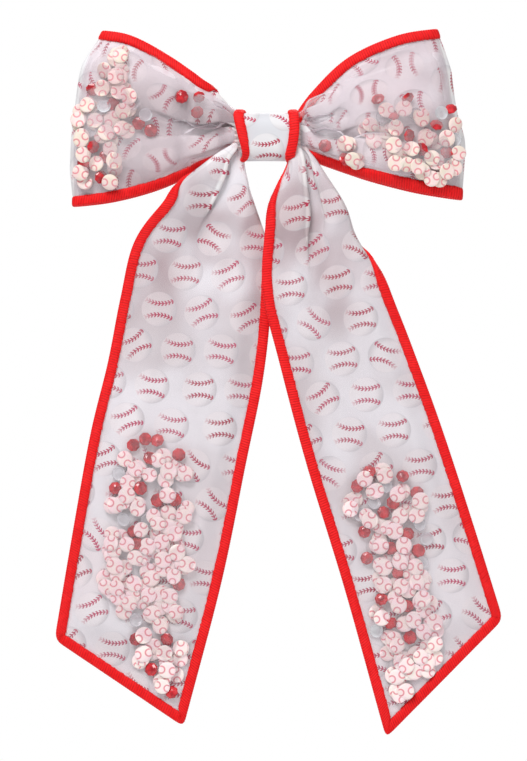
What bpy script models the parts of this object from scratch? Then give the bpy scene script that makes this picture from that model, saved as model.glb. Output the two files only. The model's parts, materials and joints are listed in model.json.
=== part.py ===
"""Shaker cheer hair bow: a gathered loop strip, two hanging tails, a knot band and a spring hair clip.

Every strip is printed fabric under a clear film, oversewn with thread along its edges, with loose
slices and beads shut in between the two. Metres, +Z up, +X to the wearer's left, the front faces -Y.
The origin is on the face of the clip's fixed arm that lies against the hair, behind the knot.
"""

import math

import bmesh
import bpy
import numpy as np
from mathutils import Vector

MM = 0.001

# ---- Driving dimensions -------------------------------------------------------------------------
FABRIC = 0.5 * MM
FILM = 0.3 * MM
GAP = 0.3 * MM
FILM_OFFSET = FABRIC / 2 + GAP + FILM / 2  # film centre in front of fabric centre
POCKET_OFFSET = 4.4 * MM  # the same, where the film bulges over the filling

EDGING_OUT = 1.2 * MM  # thread past the cut edge of the cloth
EDGING_IN = 3.1 * MM  # thread on the face of the cloth
EDGING_WALL = 0.5 * MM
SEAM_STRETCH = 1.4  # most that a slanting row may lengthen the seam's way in
EDGING_CENTRE = (FILM_OFFSET + FILM / 2 - FABRIC / 2) / 2  # middle of the sewn stack

KNOT_WIDTH = 24.0 * MM  # knot fabric, without its edging
KNOT_HALF_HEIGHT = 10.2 * MM
KNOT_HALF_DEPTH = 8.1 * MM
KNOT_SQUARENESS = 4.0  # exponent of the superellipse that the band is wound to
KNOT_CENTRE_Y = -0.4 * MM
KNOT_FABRIC = 0.6 * MM
GATHER_HALF_HEIGHT = 6.2 * MM  # cut edges of the loops inside the knot
TAIL_LAYER_Y = -4.6 * MM  # the tail strip inside the knot
TAIL_GATHER_HALF_WIDTH = 13.8 * MM

SLICE_DIAMETER = 7.0 * MM
SLICE_THICK = 1.3 * MM
BEAD_DIAMETER = 5.7 * MM
BEAD_THICK = 2.6 * MM
SEQUIN_DIAMETER = 6.0 * MM
SEQUIN_THICK = 0.6 * MM

CLIP_WIDTH = 8.5 * MM
CLIP_SHEET = 0.8 * MM
CLIP_PIN_RADIUS = 1.1 * MM
CLIP_PIN_CLEARANCE = 0.06 * MM
LINING = 0.8 * MM
LINING_WIDTH = 9.5 * MM

# Depth of the clip behind the middle of the knot: band, edging, lining, then the fixed arm.
KNOT_BACK_Y = KNOT_CENTRE_Y + KNOT_HALF_DEPTH + GAP + EDGING_WALL
LINING_Y = KNOT_BACK_Y + GAP
ARM_Y = LINING_Y + LINING + GAP
GRIP_FACE_Y = ARM_Y + CLIP_SHEET

# ---- Outlines, in millimetres from the middle of the knot: (x, z), knot end first ----------------
LOOPS = {
    "left": {
        "top": [(-13, 6.2), (-24.5, 19), (-41.5, 32.3), (-57, 41), (-69, 43.6)],
        "bottom": [(-13, -6.2), (-27, -12.3), (-45, -20.3), (-64, -25.6), (-81.4, -28)],
        "bow": -6.0,
    },
    "right": {
        "top": [(13, 6.2), (20, 18.6), (34.5, 32.2), (54, 41), (71.2, 44.4)],
        "bottom": [(13, -6.2), (30, -12.6), (45, -17.4), (63, -22), (81.4, -25.2)],
        "bow": 3.6,
    },
}
# Seen from above: (share of the way from the knot to the outer fold, y), front layer first.
LOOP_PLAN = [
    (0, -0.4), (0.13, -1.0), (0.3, -2.9), (0.5, -5.4), (0.7, -6.4), (0.86, -5.2), (0.955, -2.6),
    (1, 1.6),
    (0.955, 5.4), (0.86, 6.9), (0.7, 7.2), (0.5, 6.0), (0.3, 4.4), (0.13, 3.1), (0, 2.6),
]
LOOP_MIDDLE_Y = 1.5
LOOP_EDGE_FLATNESS = 0.35  # how much less the loop bulges at its cut edges
LOOP_ACROSS = [0, 0.1, 0.17, 0.28, 0.43, 0.57, 0.72, 0.83, 0.9, 1]

# The tails: (x, y, z) of both edges, knot end first. Their lower part is a flat panel.
TAILS = {
    "left": {
        "outer": [(-14.5, -4.7, -0.6), (-19, -6, -6), (-25, -7.3, -12), (-40, -8.4, -25.5),
                  (-54.2, -8, -44), (-60.3, -6.6, -68), (-65.6, -6, -95), (-72.9, -6, -125),
                  (-80.3, -6, -166), (-87.7, -6, -209.8)],
        "inner": [(-14.5, -4.7, -10.4), (-14, -5.4, -13.6), (-10.2, -6.4, -20), (-6.2, -7, -29.5),
                  (-2.6, -6.4, -44), (-0.4, -6, -68), (-2.9, -6, -100), (-10.3, -6, -137),
                  (-20.4, -6, -186), (-35.8, -6, -244.8)],
        "lean": 11.2,
        "tilt": 0.0,
    },
    "right": {
        "outer": [(14.5, -4.7, -0.6), (18.6, -6, -7.5), (24, -7.3, -16), (32.3, -8.4, -30),
                  (38.2, -8.2, -46), (51, -6.6, -68), (63.6, -5.5, -100), (73.6, -5.5, -128),
                  (85.9, -5.5, -166), (97, -5.5, -201.6)],
        "inner": [(14.5, -4.7, -10.4), (14, -5.4, -13.6), (9.4, -7.2, -20), (3.8, -9.4, -30),
                  (-0.5, -11.6, -44), (-0.8, -12, -66), (5.9, -11.5, -94), (17.4, -11.5, -137),
                  (33, -11.5, -188), (49.8, -11.5, -248.4)],
        "lean": -17.2,
        "tilt": 6.0,
    },
}
TAIL_FLAT_FROM = 6  # from this station down, the tail is a flat panel
TAIL_ALONG = [0, 0.037, 0.074, 0.111, 0.148, 0.185, 0.222, 0.26, 0.3, 0.34, 0.39, 0.44, 0.5, 0.57,
              0.64, 0.71, 0.78, 0.85, 0.91, 0.945, 0.97, 0.987, 1]
TAIL_ACROSS = [0, 0.08, 0.16, 0.33, 0.5, 0.67, 0.84, 0.92, 1]
TAIL_SWING_AXIS = (0, -4.6 * MM, 1.0 * MM)  # a point of the line that both tails swing about
TAIL_SEAM_FROM = 6  # row where the inner seam comes out of the gathers
TAIL_POCKET = (0.47, 0.56)  # the film starts to bulge, and is fully out, along the tail

# ---- Filling: (x, z) on the tails' panels, (share outward, share upward) on the loops -------------
FILLING = {
    "left_tail": {
        "slice": [(-44, -134), (-61, -156), (-50, -163), (-64, -172), (-53, -178), (-58, -190),
                  (-45, -199)],
        "red_bead": [(-52, -127), (-52, -149), (-41, -178), (-51, -211)],
        "clear_bead": [(-37, -152)],
    },
    "right_tail": {
        "slice": [(43, -148), (58, -152), (48, -160), (59, -166), (51, -178), (47, -191),
                  (52, -211)],
        "red_bead": [(48, -140), (54, -142), (50, -169), (56, -200)],
        "clear_bead": [(62, -180)],
    },
    "left_loop": {
        "slice": [(0.84, 0.34), (0.72, 0.62), (0.84, 0.64), (0.72, 0.36)],
        "red_bead": [(0.78, 0.49), (0.65, 0.49)],
        "clear_sequin": [(0.62, 0.66)],
    },
    "right_loop": {
        "slice": [(0.84, 0.34), (0.7, 0.42), (0.84, 0.56), (0.625, 0.33)],
        "red_bead": [(0.76, 0.54), (0.64, 0.54)],
        "clear_sequin": [(0.72, 0.28)],
    },
}

# ---- Clip, seen from above: (x, y) in millimetres, y from the grip face --------------------------
CLIP_TIP_X = -27.0
CLIP_LEVER_X = 33.0
CLIP_PIN = (9.0, 3.6)
JAW_LINE = [(-27, 1.0), (-25.5, 1.0), (-17, 2.6), (3, 5.2), (13, 7.2), (24, 10.6), (33, 14.6)]
JAW_HALF_WIDTH = 3.2
SPRING_LINE = [(29, 0.6), (14, 0.9), (6.4, 2.2), (5.9, 3.6), (6.6, 4.7), (14, 6.2), (24, 8.9)]
SPRING_SHEET = 0.4
TEETH = 5


# ---- Small helpers ---------------------------------------------------------------------------------
def clear_scene():
    for old in list(bpy.data.objects):
        bpy.data.objects.remove(old, do_unlink=True)


def material(name, colour, roughness, metallic=0.0, alpha=1.0):
    made = bpy.data.materials.get(name)
    if made:
        return made
    made = bpy.data.materials.new(name)
    made.use_nodes = True
    shader = made.node_tree.nodes["Principled BSDF"]
    shader.inputs["Base Color"].default_value = (*colour, 1)
    shader.inputs["Roughness"].default_value = roughness
    shader.inputs["Metallic"].default_value = metallic
    shader.inputs["Alpha"].default_value = alpha
    made.diffuse_color = (*colour, alpha)
    return made


def printed_fabric():
    return material("printed_fabric", (0.86, 0.82, 0.86), 0.7)


def clear_film():
    return material("clear_film", (0.95, 0.95, 0.97), 0.15, alpha=0.3)


def red_thread():
    return material("red_thread", (0.75, 0.02, 0.03), 0.6)


def filling_material(kind):
    return {
        "slice": material("clay_slice", (0.93, 0.8, 0.76), 0.6),
        "red_bead": material("red_jelly", (0.7, 0.05, 0.08), 0.2),
        "clear_bead": material("clear_acrylic", (0.9, 0.9, 0.92), 0.1, alpha=0.5),
        "clear_sequin": material("clear_acrylic", (0.9, 0.9, 0.92), 0.1, alpha=0.5),
    }[kind]


def steel():
    return material("steel", (0.62, 0.62, 0.64), 0.3, metallic=1.0)


def add_object(name, parent, mesh_builder, skin):
    """One named object under parent, whose mesh mesh_builder fills in, measured from the knot."""
    mesh = bpy.data.meshes.new(name)
    work = bmesh.new()
    mesh_builder(work)
    bmesh.ops.recalc_face_normals(work, faces=work.faces)
    work.to_mesh(mesh)
    work.free()
    mesh.materials.append(skin)
    made = bpy.data.objects.new(name, mesh)
    bpy.context.scene.collection.objects.link(made)
    made.parent = parent
    made.location = knot_seen_from(parent)
    return made


def knot_seen_from(parent):
    """The middle of the knot, in the coordinates of a parent somewhere under the bow."""
    place = Vector((0, 0, 0))
    while parent.parent:
        place -= parent.location
        parent = parent.parent
    return place


def add_empty(name, parent, place):
    made = bpy.data.objects.new(name, None)
    bpy.context.scene.collection.objects.link(made)
    made.parent = parent
    made.location = place
    return made


def smooth_step(low, high, value):
    share = np.clip((np.asarray(value, float) - low) / (high - low), 0, 1)
    return share * share * (3 - 2 * share)


def through(points, share):
    """A point on the smooth curve through points, share from 0 at the first to 1 at the last."""
    points = np.asarray(points, float)
    last = len(points) - 1
    place = min(max(share, 0.0), 1.0) * last
    start = min(int(place), last - 1)
    f = place - start
    before = points[start - 1] if start > 0 else 2 * points[0] - points[1]
    after = points[start + 2] if start + 2 <= last else 2 * points[last] - points[last - 1]
    here, there = points[start], points[start + 1]
    return 0.5 * (
        2 * here
        + (there - before) * f
        + (2 * before - 5 * here + 4 * there - after) * f * f
        + (3 * here - 3 * there + after - before) * f**3
    )


def unit(vectors):
    return vectors / np.maximum(np.linalg.norm(vectors, axis=-1, keepdims=True), 1e-12)


def grid_normals(grid, wraps=False):
    """Unit normals of a grid of points (rows, columns, 3)."""
    if wraps:
        along = np.roll(grid, -1, axis=0) - np.roll(grid, 1, axis=0)
    else:
        along = np.gradient(grid, axis=0)
    return unit(np.cross(along, np.gradient(grid, axis=1)))


def sheet_mesh(grid, normals, offset, thick, wraps=False):
    """Fills a bmesh with a closed sheet of that thickness, offset along the normals."""
    offset = np.broadcast_to(offset, grid.shape[:2])[..., None]
    rows, columns = grid.shape[:2]

    def build(work):
        faces_of = []
        for shift in (thick / 2, -thick / 2):
            points = grid + normals * (offset + shift)
            faces_of.append([[work.verts.new(p) for p in row] for row in points])
        front, back = faces_of
        last = rows if wraps else rows - 1
        for i in range(last):
            j = (i + 1) % rows
            for k in range(columns - 1):
                work.faces.new((front[i][k], front[j][k], front[j][k + 1], front[i][k + 1]))
                work.faces.new((back[i][k], back[i][k + 1], back[j][k + 1], back[j][k]))
            for k in (0, columns - 1):
                work.faces.new((front[i][k], back[i][k], back[j][k], front[j][k]))
        if not wraps:
            for i in (0, rows - 1):
                for k in range(columns - 1):
                    work.faces.new((front[i][k], front[i][k + 1], back[i][k + 1], back[i][k]))

    return build


def sweep_mesh(places, first_axes, second_axes, outline, wraps=False):
    """Fills a bmesh with the closed outline swept through places, in the two axes given there."""
    count = len(outline)

    def build(work):
        rings = []
        for place, first, second in zip(places, first_axes, second_axes):
            rings.append([work.verts.new(place + first * a + second * b) for a, b in outline])
        last = len(rings) if wraps else len(rings) - 1
        for i in range(last):
            here, there = rings[i], rings[(i + 1) % len(rings)]
            for k in range(count):
                n = (k + 1) % count
                work.faces.new((here[k], here[n], there[n], there[k]))
        if not wraps:
            work.faces.new(rings[0][::-1])
            work.faces.new(rings[-1])

    return build


def edging_outline(centre=EDGING_CENTRE, stack=FILM_OFFSET + FILM / 2 + FABRIC / 2):
    """The oversewn thread's section: a channel that clasps the edge. (inward, along the normal)."""
    slot = stack / 2 + GAP
    outer = slot + EDGING_WALL
    bevel = outer * 0.4
    return [
        (EDGING_IN, centre + slot),
        (EDGING_IN, centre + outer),
        (-EDGING_OUT + bevel, centre + outer),
        (-EDGING_OUT, centre + outer - bevel),
        (-EDGING_OUT, centre - outer + bevel),
        (-EDGING_OUT + bevel, centre - outer),
        (EDGING_IN, centre - outer),
        (EDGING_IN, centre - slot),
        (-GAP, centre - slot),
        (-GAP, centre + slot),
    ]


def inward_axes(grid, rows, columns, sewn_end=False, wraps=False):
    """The way in over the sheet from points of its border, as long as keeps the seam's width."""
    across = unit(np.gradient(grid, axis=1))
    if wraps:
        down = unit(np.roll(grid, -1, axis=0) - np.roll(grid, 1, axis=0))
    else:
        down = unit(np.gradient(grid, axis=0))
    sine = np.linalg.norm(np.cross(across, down), axis=2)[rows, columns]
    stretch = np.minimum(1 / sine, SEAM_STRETCH)
    last_row, last_column = grid.shape[0] - 1, grid.shape[1] - 1
    from_side = (columns == 0) * 1.0 - (columns == last_column)
    from_end = (rows == last_row) * -1.0 * sewn_end
    inward = across[rows, columns] * from_side[:, None] + down[rows, columns] * from_end[:, None]
    return inward * stretch[:, None]


def add_edging(name, parent, grid, normals, rows, columns, sewn_end=False):
    """Thread oversewn along the border of a sheet, through the points rows, columns of its grid."""
    inward = inward_axes(grid, rows, columns, sewn_end)
    edge, outward = grid[rows, columns], normals[rows, columns]
    add_object(
        name, parent, sweep_mesh(edge, inward, outward, edging_outline()), red_thread()
    )


# ---- Loops -------------------------------------------------------------------------------------------
def loop_point(side, outward, upward, y):
    """A point of one loop, from its share outward and upward and the plan's depth."""
    shape = LOOPS[side]
    top, bottom = through(shape["top"], outward), through(shape["bottom"], outward)
    x, z = bottom + (top - bottom) * upward
    x += shape["bow"] * 4 * upward * (1 - upward) * outward**3
    flatness = LOOP_EDGE_FLATNESS * (1 - math.sin(math.pi * upward)) * smooth_step(0, 0.5, outward)
    return x, LOOP_MIDDLE_Y + (y - LOOP_MIDDLE_Y) * (1 - flatness), z


def loop_grid(stations_each=17):
    """The whole loop strip: back seam, left loop, through the knot, right loop, back seam."""
    rows = []
    shares = np.linspace(0, 1, stations_each)
    plan = [through(LOOP_PLAN, share) for share in shares]
    plan[0], plan[-1] = LOOP_PLAN[0], LOOP_PLAN[-1]
    seam = 0.5
    rows.append([(-seam, LOOP_PLAN[-1][1], lerp_height(t)) for t in LOOP_ACROSS])
    for outward, y in reversed(plan):
        rows.append([loop_point("left", outward, t, y) for t in LOOP_ACROSS])
    for outward, y in plan:
        rows.append([loop_point("right", outward, t, y) for t in LOOP_ACROSS])
    rows.append([(seam, LOOP_PLAN[-1][1], lerp_height(t)) for t in LOOP_ACROSS])
    return np.array(rows) * MM, plan


def lerp_height(upward):
    half = GATHER_HALF_HEIGHT / MM
    return -half + 2 * half * upward


def loop_film_offset(plan):
    """The film lies on the cloth, and bulges over the filling on the front of each loop."""
    half = []
    for index, (outward, _) in enumerate(plan):
        front = index < len(plan) // 2
        bulge = smooth_step(0.38, 0.47, outward) * (1 - smooth_step(0.9, 0.97, outward))
        half.append(bulge if front else 0.0)
    along = np.array([0.0, *half[::-1], *half, 0.0])
    across = np.array([0.0, 0.0, 1, 1, 1, 1, 1, 1, 0.0, 0.0])
    return FILM_OFFSET + (POCKET_OFFSET - FILM_OFFSET) * np.outer(along, across)


def make_loops(bow):
    grid, plan = loop_grid()
    normals = grid_normals(grid)
    add_object("loop_fabric", bow, sheet_mesh(grid, normals, 0, FABRIC), printed_fabric())
    add_object(
        "loop_film", bow, sheet_mesh(grid, normals, loop_film_offset(plan), FILM), clear_film()
    )
    rows = np.arange(len(grid))
    for name, column in (("top", len(LOOP_ACROSS) - 1), ("bottom", 0)):
        columns = np.full(len(grid), column)
        add_edging(f"loop_{name}_edging", bow, grid, normals, rows, columns)


# ---- Tails -------------------------------------------------------------------------------------------
def tail_grid(side):
    shape = TAILS[side]
    flat_share = TAIL_FLAT_FROM / (len(shape["outer"]) - 1)
    rows = []
    for along in TAIL_ALONG:
        outer, inner = through(shape["outer"], along), through(shape["inner"], along)
        row = [outer + (inner - outer) * across for across in TAIL_ACROSS]
        rows.append(row)
    grid = np.array(rows) * MM
    flat = np.array(TAIL_ALONG) >= flat_share
    weight = smooth_step(flat_share - 0.14, flat_share, TAIL_ALONG)[:, None]
    grid[..., 1] += (panel_depth(side, grid[..., 0], grid[..., 2]) - grid[..., 1]) * np.where(
        flat[:, None], 1, weight
    )
    return grid


def tail_normals(grid):
    """Towards the front; straight to the front where the strip is gathered into the knot."""
    normals = grid_normals(grid)
    normals *= -np.sign(normals[-1, 0, 1])
    settled = smooth_step(0, 0.16, TAIL_ALONG)[:, None, None]
    return unit(normals * settled + np.array((0, -1, 0)) * (1 - settled))


def panel_depth(side, x, z):
    """Depth of the tail's flat lower panel, which turns a little about the tail's own length."""
    shape = TAILS[side]
    outer, inner = (np.array(shape[edge][-2]) * MM for edge in ("outer", "inner"))
    middle = (outer + inner) / 2
    lean = math.radians(shape["lean"])
    inward = math.copysign(1, inner[0] - outer[0])
    across = ((x - middle[0]) * math.cos(lean) - (z - middle[2]) * math.sin(lean)) * inward
    return middle[1] - across * math.tan(math.radians(shape["tilt"]))


def tail_film_offset():
    start, full = TAIL_POCKET
    along = np.array(TAIL_ALONG)
    bulge = smooth_step(start, full, along) * (along < 0.98)
    across = np.array([0.0, 0.0, 1, 1, 1, 1, 1, 0.0, 0.0])
    return FILM_OFFSET + (POCKET_OFFSET - FILM_OFFSET) * np.outer(bulge, across)


def make_tail(side, parent):
    """One tail: fabric, film, and the edging down one side, across the slanted end and up again."""
    grid = tail_grid(side)
    normals = tail_normals(grid)
    add_object(
        f"{side}_tail_fabric", parent, sheet_mesh(grid, normals, 0, FABRIC), printed_fabric()
    )
    add_object(
        f"{side}_tail_film", parent, sheet_mesh(grid, normals, tail_film_offset(), FILM),
        clear_film(),
    )
    border = [(i, 0) for i in range(len(grid))]
    border += [(len(grid) - 1, k) for k in range(1, len(TAIL_ACROSS) - 1)]
    border += [(i, len(TAIL_ACROSS) - 1) for i in reversed(range(TAIL_SEAM_FROM, len(grid)))]
    rows, columns = np.array(border).T
    add_edging(f"{side}_tail_edging", parent, grid, normals, rows, columns, sewn_end=True)


def make_tail_gather(bow):
    """The middle of the tail strip, folded small inside the knot."""
    folds, height = 5, GATHER_HALF_HEIGHT - 0.6 * MM
    across = np.linspace(-height, height, 4 * folds + 1)
    depth = 0.7 * MM * np.cos(np.linspace(0, folds * 2 * math.pi, len(across)))
    ends = (-TAIL_GATHER_HALF_WIDTH, TAIL_GATHER_HALF_WIDTH)
    grid = np.array([[(x, TAIL_LAYER_Y + d, z) for d, z in zip(depth, across)] for x in ends])
    add_object(
        "tail_gather", bow, sheet_mesh(grid, grid_normals(grid), 0, FABRIC), printed_fabric()
    )


# ---- Knot --------------------------------------------------------------------------------------------
def band_ring(half_depth, half_height, count=28):
    """(y, z) round the knot: a superellipse."""
    ring = []
    for step in range(count):
        turn = 2 * math.pi * step / count
        y, z = (
            math.copysign(abs(part) ** (2 / KNOT_SQUARENESS), part)
            for part in (math.cos(turn), math.sin(turn))
        )
        ring.append((KNOT_CENTRE_Y + half_depth * y, half_height * z))
    return ring


def make_knot(bow):
    half_sheet = KNOT_FABRIC / 2
    ring = band_ring(KNOT_HALF_DEPTH - half_sheet, KNOT_HALF_HEIGHT - half_sheet)
    columns = np.linspace(-KNOT_WIDTH / 2, KNOT_WIDTH / 2, 4)
    grid = np.array([[(x, y, z) for x in columns] for y, z in ring])
    normals = grid_normals(grid, wraps=True)
    normals *= np.sign(normals[0, 0, 1])
    add_object(
        "knot_fabric",
        bow,
        sheet_mesh(grid, normals, 0, KNOT_FABRIC, wraps=True),
        printed_fabric(),
    )
    outline = edging_outline(centre=0.0, stack=KNOT_FABRIC)
    rows = np.arange(len(grid))
    for side, column in (("left", 0), ("right", grid.shape[1] - 1)):
        path = np.full(len(grid), column)
        edge, outward = grid[:, column], normals[:, column]
        inward = inward_axes(grid, rows, path, wraps=True)
        add_object(
            f"knot_{side}_edging",
            bow,
            sweep_mesh(edge, inward, outward, outline, wraps=True),
            red_thread(),
        )


def make_gather_thread(bow):
    """Three turns of thread that draw the strips together, laid side by side."""
    turns, radius = 3, 0.4 * MM
    outline = []
    for side in (1, -1):
        for turn in range(turns):
            middle = (turn - (turns - 1) / 2) * 1.7 * radius * side
            for angle in (150, 90, 30):
                a = math.radians(angle)
                outline.append(
                    (middle + radius * math.cos(a) * -side * -1, radius * math.sin(a) * side)
                )
    outline = sorted_outline(outline)
    ring = band_ring(
        KNOT_HALF_DEPTH - KNOT_FABRIC - GAP - radius, KNOT_HALF_HEIGHT - KNOT_FABRIC - GAP - radius
    )
    places = np.array([(0, y, z) for y, z in ring])
    outward = grid_normals(np.stack([places, places + (MM, 0, 0)], axis=1), wraps=True)[:, 0]
    outward *= np.sign(outward[0, 1])
    along = np.broadcast_to((1.0, 0.0, 0.0), places.shape)
    add_object(
        "gather_thread", bow, sweep_mesh(places, along, outward, outline, wraps=True), red_thread()
    )


def sorted_outline(points):
    """The ridged outline in order: its upper side from left to right, then back underneath."""
    upper = sorted(p for p in points if p[1] > 0)
    lower = sorted((p for p in points if p[1] < 0), reverse=True)
    return upper + lower


# ---- Filling -----------------------------------------------------------------------------------------
def disc_mesh(place, axis, diameter, thick, sides, belt=1.0):
    """A flat round piece whose rim is bevelled to belt of its width on both faces."""
    axis = unit(np.asarray(axis, float))
    helper = np.array((0.0, 0.0, 1.0)) if abs(axis[2]) < 0.9 else np.array((1.0, 0.0, 0.0))
    first = unit(np.cross(axis, helper))
    second = np.cross(axis, first)
    if belt < 1:
        layers = [(-0.5, belt), (-0.12, 1.0), (0.12, 1.0), (0.5, belt)]
    else:
        layers = [(-0.5, 1.0), (0.5, 1.0)]

    def build(work):
        rings = []
        for height, share in layers:
            ring = []
            for step in range(sides):
                turn = 2 * math.pi * step / sides
                spoke = first * math.cos(turn) + second * math.sin(turn)
                ring.append(
                    work.verts.new(place + axis * thick * height + spoke * diameter / 2 * share)
                )
            rings.append(ring)
        for here, there in zip(rings, rings[1:]):
            for k in range(sides):
                n = (k + 1) % sides
                work.faces.new((here[k], here[n], there[n], there[k]))
        work.faces.new(rings[0][::-1])
        work.faces.new(rings[-1])

    return build


FILLING_SHAPES = {
    "slice": (SLICE_DIAMETER, SLICE_THICK, 12, 1.0),
    "red_bead": (BEAD_DIAMETER, BEAD_THICK, 8, 0.6),
    "clear_bead": (BEAD_DIAMETER, BEAD_THICK, 8, 0.6),
    "clear_sequin": (SEQUIN_DIAMETER, SEQUIN_THICK, 12, 1.0),
}


def make_filling(pocket, parent, surface):
    """The loose pieces of one pocket. surface gives the place and normal on its fabric."""
    lift = (FABRIC / 2 + POCKET_OFFSET - FILM / 2) / 2  # half way between fabric and film
    for kind, spots in FILLING[pocket].items():
        diameter, thick, sides, belt = FILLING_SHAPES[kind]
        for number, spot in enumerate(spots, 1):
            place, normal = surface(*spot)
            add_object(
                f"{pocket}_{kind}_{number}",
                parent,
                disc_mesh(place + normal * lift, normal, diameter, thick, sides, belt),
                filling_material(kind),
            )


def tail_surface(side):
    def surface(x, z):
        x, z = x * MM, z * MM
        step = MM
        here = np.array((x, panel_depth(side, x, z), z))
        along_x = np.array((x + step, panel_depth(side, x + step, z), z)) - here
        along_z = np.array((x, panel_depth(side, x, z + step), z + step)) - here
        normal = unit(np.cross(along_x, along_z))
        return here, normal * -math.copysign(1, normal[1])

    return surface


def loop_surface(side):
    def surface(outward, upward):
        def point(a, b):
            front = LOOP_PLAN[:8]
            shares = [station for station, _ in front]
            y = np.interp(a, shares, [depth for _, depth in front])
            return np.array(loop_point(side, a, b, y)) * MM

        step = 0.02
        here = point(outward, upward)
        across = point(outward + step, upward) - point(outward - step, upward)
        up = point(outward, upward + step) - point(outward, upward - step)
        normal = unit(np.cross(across, up))
        return here, normal * -math.copysign(1, normal[1])

    return surface


# ---- Clip --------------------------------------------------------------------------------------------
def prism_mesh(outline, low, high):
    """A closed outline in (x, y), in metres, carried from z low to z high."""

    def build(work):
        rings = [[work.verts.new((x, y, z)) for x, y in outline] for z in (low, high)]
        count = len(outline)
        for k in range(count):
            n = (k + 1) % count
            work.faces.new((rings[0][k], rings[0][n], rings[1][n], rings[1][k]))
        work.faces.new(rings[0][::-1])
        work.faces.new(rings[1])

    return build


def bent_strip(line, thick):
    """The outline of a strip of sheet that follows line, mitred at its bends, in metres."""
    line = np.array(line, float) * MM
    flat = np.column_stack([line, np.zeros(len(line))])
    up = np.broadcast_to((0.0, 0.0, 1.0), flat.shape)
    steps = np.diff(flat, axis=0)
    sides = [unit(np.cross(up[:-1], steps))]
    before = np.vstack([sides[0][:1], sides[0]])
    after = np.vstack([sides[0], sides[0][-1:]])
    both = before + after
    offsets = both / np.sum(both * before, axis=1, keepdims=True) * thick / 2
    return [tuple(p[:2]) for p in flat + offsets] + [tuple(p[:2]) for p in (flat - offsets)[::-1]]


def combine(target, other, operation):
    change = target.modifiers.new(f"{operation.lower()}_{other.name}", "BOOLEAN")
    change.operation = operation
    change.solver = "EXACT"
    change.object = other
    other.hide_render = True
    other.display_type = "WIRE"


def grip(points):
    """Points given from the grip face, moved to the knot's own depth."""
    return [(x, y + GRIP_FACE_Y / MM) for x, y in points]


def in_metres(points):
    return [(x * MM, y * MM) for x, y in points]


def pin_hole(name, parent):
    diameter = 2 * (CLIP_PIN_RADIUS + CLIP_PIN_CLEARANCE)
    x, y = in_metres(grip([CLIP_PIN]))[0]
    return add_object(
        name,
        parent,
        disc_mesh(np.array((x, y, 0)), (0, 0, 1), diameter, 2 * CLIP_WIDTH, 16),
        steel(),
    )


def make_fixed_arm(bow):
    """The arm glued to the back of the knot: a plate with two ears that carry the pin."""
    half = CLIP_WIDTH / 2
    plate = in_metres(
        grip([(CLIP_TIP_X, 0), (CLIP_TIP_X, -0.8), (CLIP_LEVER_X, -0.8), (CLIP_LEVER_X, 0)])
    )
    arm = add_object("clip_fixed_arm", bow, prism_mesh(plate, -half, half), steel())
    pin_x, pin_y = CLIP_PIN
    ear = [(pin_x - 5, -0.4), (pin_x - 2, pin_y + 2), (pin_x + 2, pin_y + 2), (pin_x + 5, -0.4)]
    for name, sign in (("low", -1), ("high", 1)):
        inner, outer = sorted((sign * (half - 0.7 * MM), sign * half * 0.999))
        lug = add_object(
            f"ear_{name}", bow, prism_mesh(in_metres(grip(ear)), inner, outer), steel()
        )
        combine(arm, lug, "UNION")
    combine(arm, pin_hole("arm_pin_hole", bow), "DIFFERENCE")


def make_jaw(jaw_empty):
    """The moving arm: a bent strip with two inner ears round the pin and teeth at its tip."""
    half = JAW_HALF_WIDTH * MM
    jaw = add_object(
        "clip_jaw", jaw_empty, prism_mesh(bent_strip(grip(JAW_LINE), CLIP_SHEET), -half, half),
        steel(),
    )
    pin_x, pin_y = CLIP_PIN
    ear = [(pin_x - 4, 5.3), (pin_x - 2, pin_y - 1.9), (pin_x + 2, pin_y - 1.9), (pin_x + 4, 7.1)]
    inner_wall = half - 0.7 * MM
    tooth_step = 1.6
    first_tooth = CLIP_TIP_X + 2.2
    teeth = [(first_tooth, 1.3)]
    for index in range(TEETH):
        left = first_tooth + index * tooth_step
        teeth.append((left + tooth_step / 2, 0.4))
        teeth.append((left + tooth_step, 1.5 + 0.12 * index))
    teeth += [(first_tooth + TEETH * tooth_step, 2.7), (first_tooth, 1.5)]
    for name, outline in (("ear", ear), ("teeth", teeth)):
        for which, sign in (("low", -1), ("high", 1)):
            low, high = sorted((sign * inner_wall, sign * half * 0.999))
            piece = add_object(
                f"jaw_{name}_{which}", jaw_empty, prism_mesh(in_metres(grip(outline)), low, high),
                steel(),
            )
            combine(jaw, piece, "UNION")
    combine(jaw, pin_hole("jaw_pin_hole", jaw_empty), "DIFFERENCE")


def make_pin(bow):
    x, y = in_metres(grip([CLIP_PIN]))[0]
    length = CLIP_WIDTH + 1.2 * MM
    add_object(
        "clip_pin",
        bow,
        disc_mesh(np.array((x, y, 0)), (0, 0, 1), 2 * CLIP_PIN_RADIUS, length, 16),
        steel(),
    )


def make_clip(bow, jaw_empty):
    half = LINING_WIDTH / 2
    lining = [
        (CLIP_TIP_X * MM, LINING_Y),
        (CLIP_TIP_X * MM, LINING_Y + LINING),
        (CLIP_LEVER_X * MM, LINING_Y + LINING),
        (CLIP_LEVER_X * MM, LINING_Y),
    ]
    add_object("clip_lining", bow, prism_mesh(lining, -half, half), red_thread())
    make_fixed_arm(bow)
    make_jaw(jaw_empty)
    make_pin(bow)
    add_object(
        "clip_spring",
        bow,
        prism_mesh(bent_strip(grip(SPRING_LINE), SPRING_SHEET * MM), -2.2 * MM, 2.2 * MM),
        steel(),
    )


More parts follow.
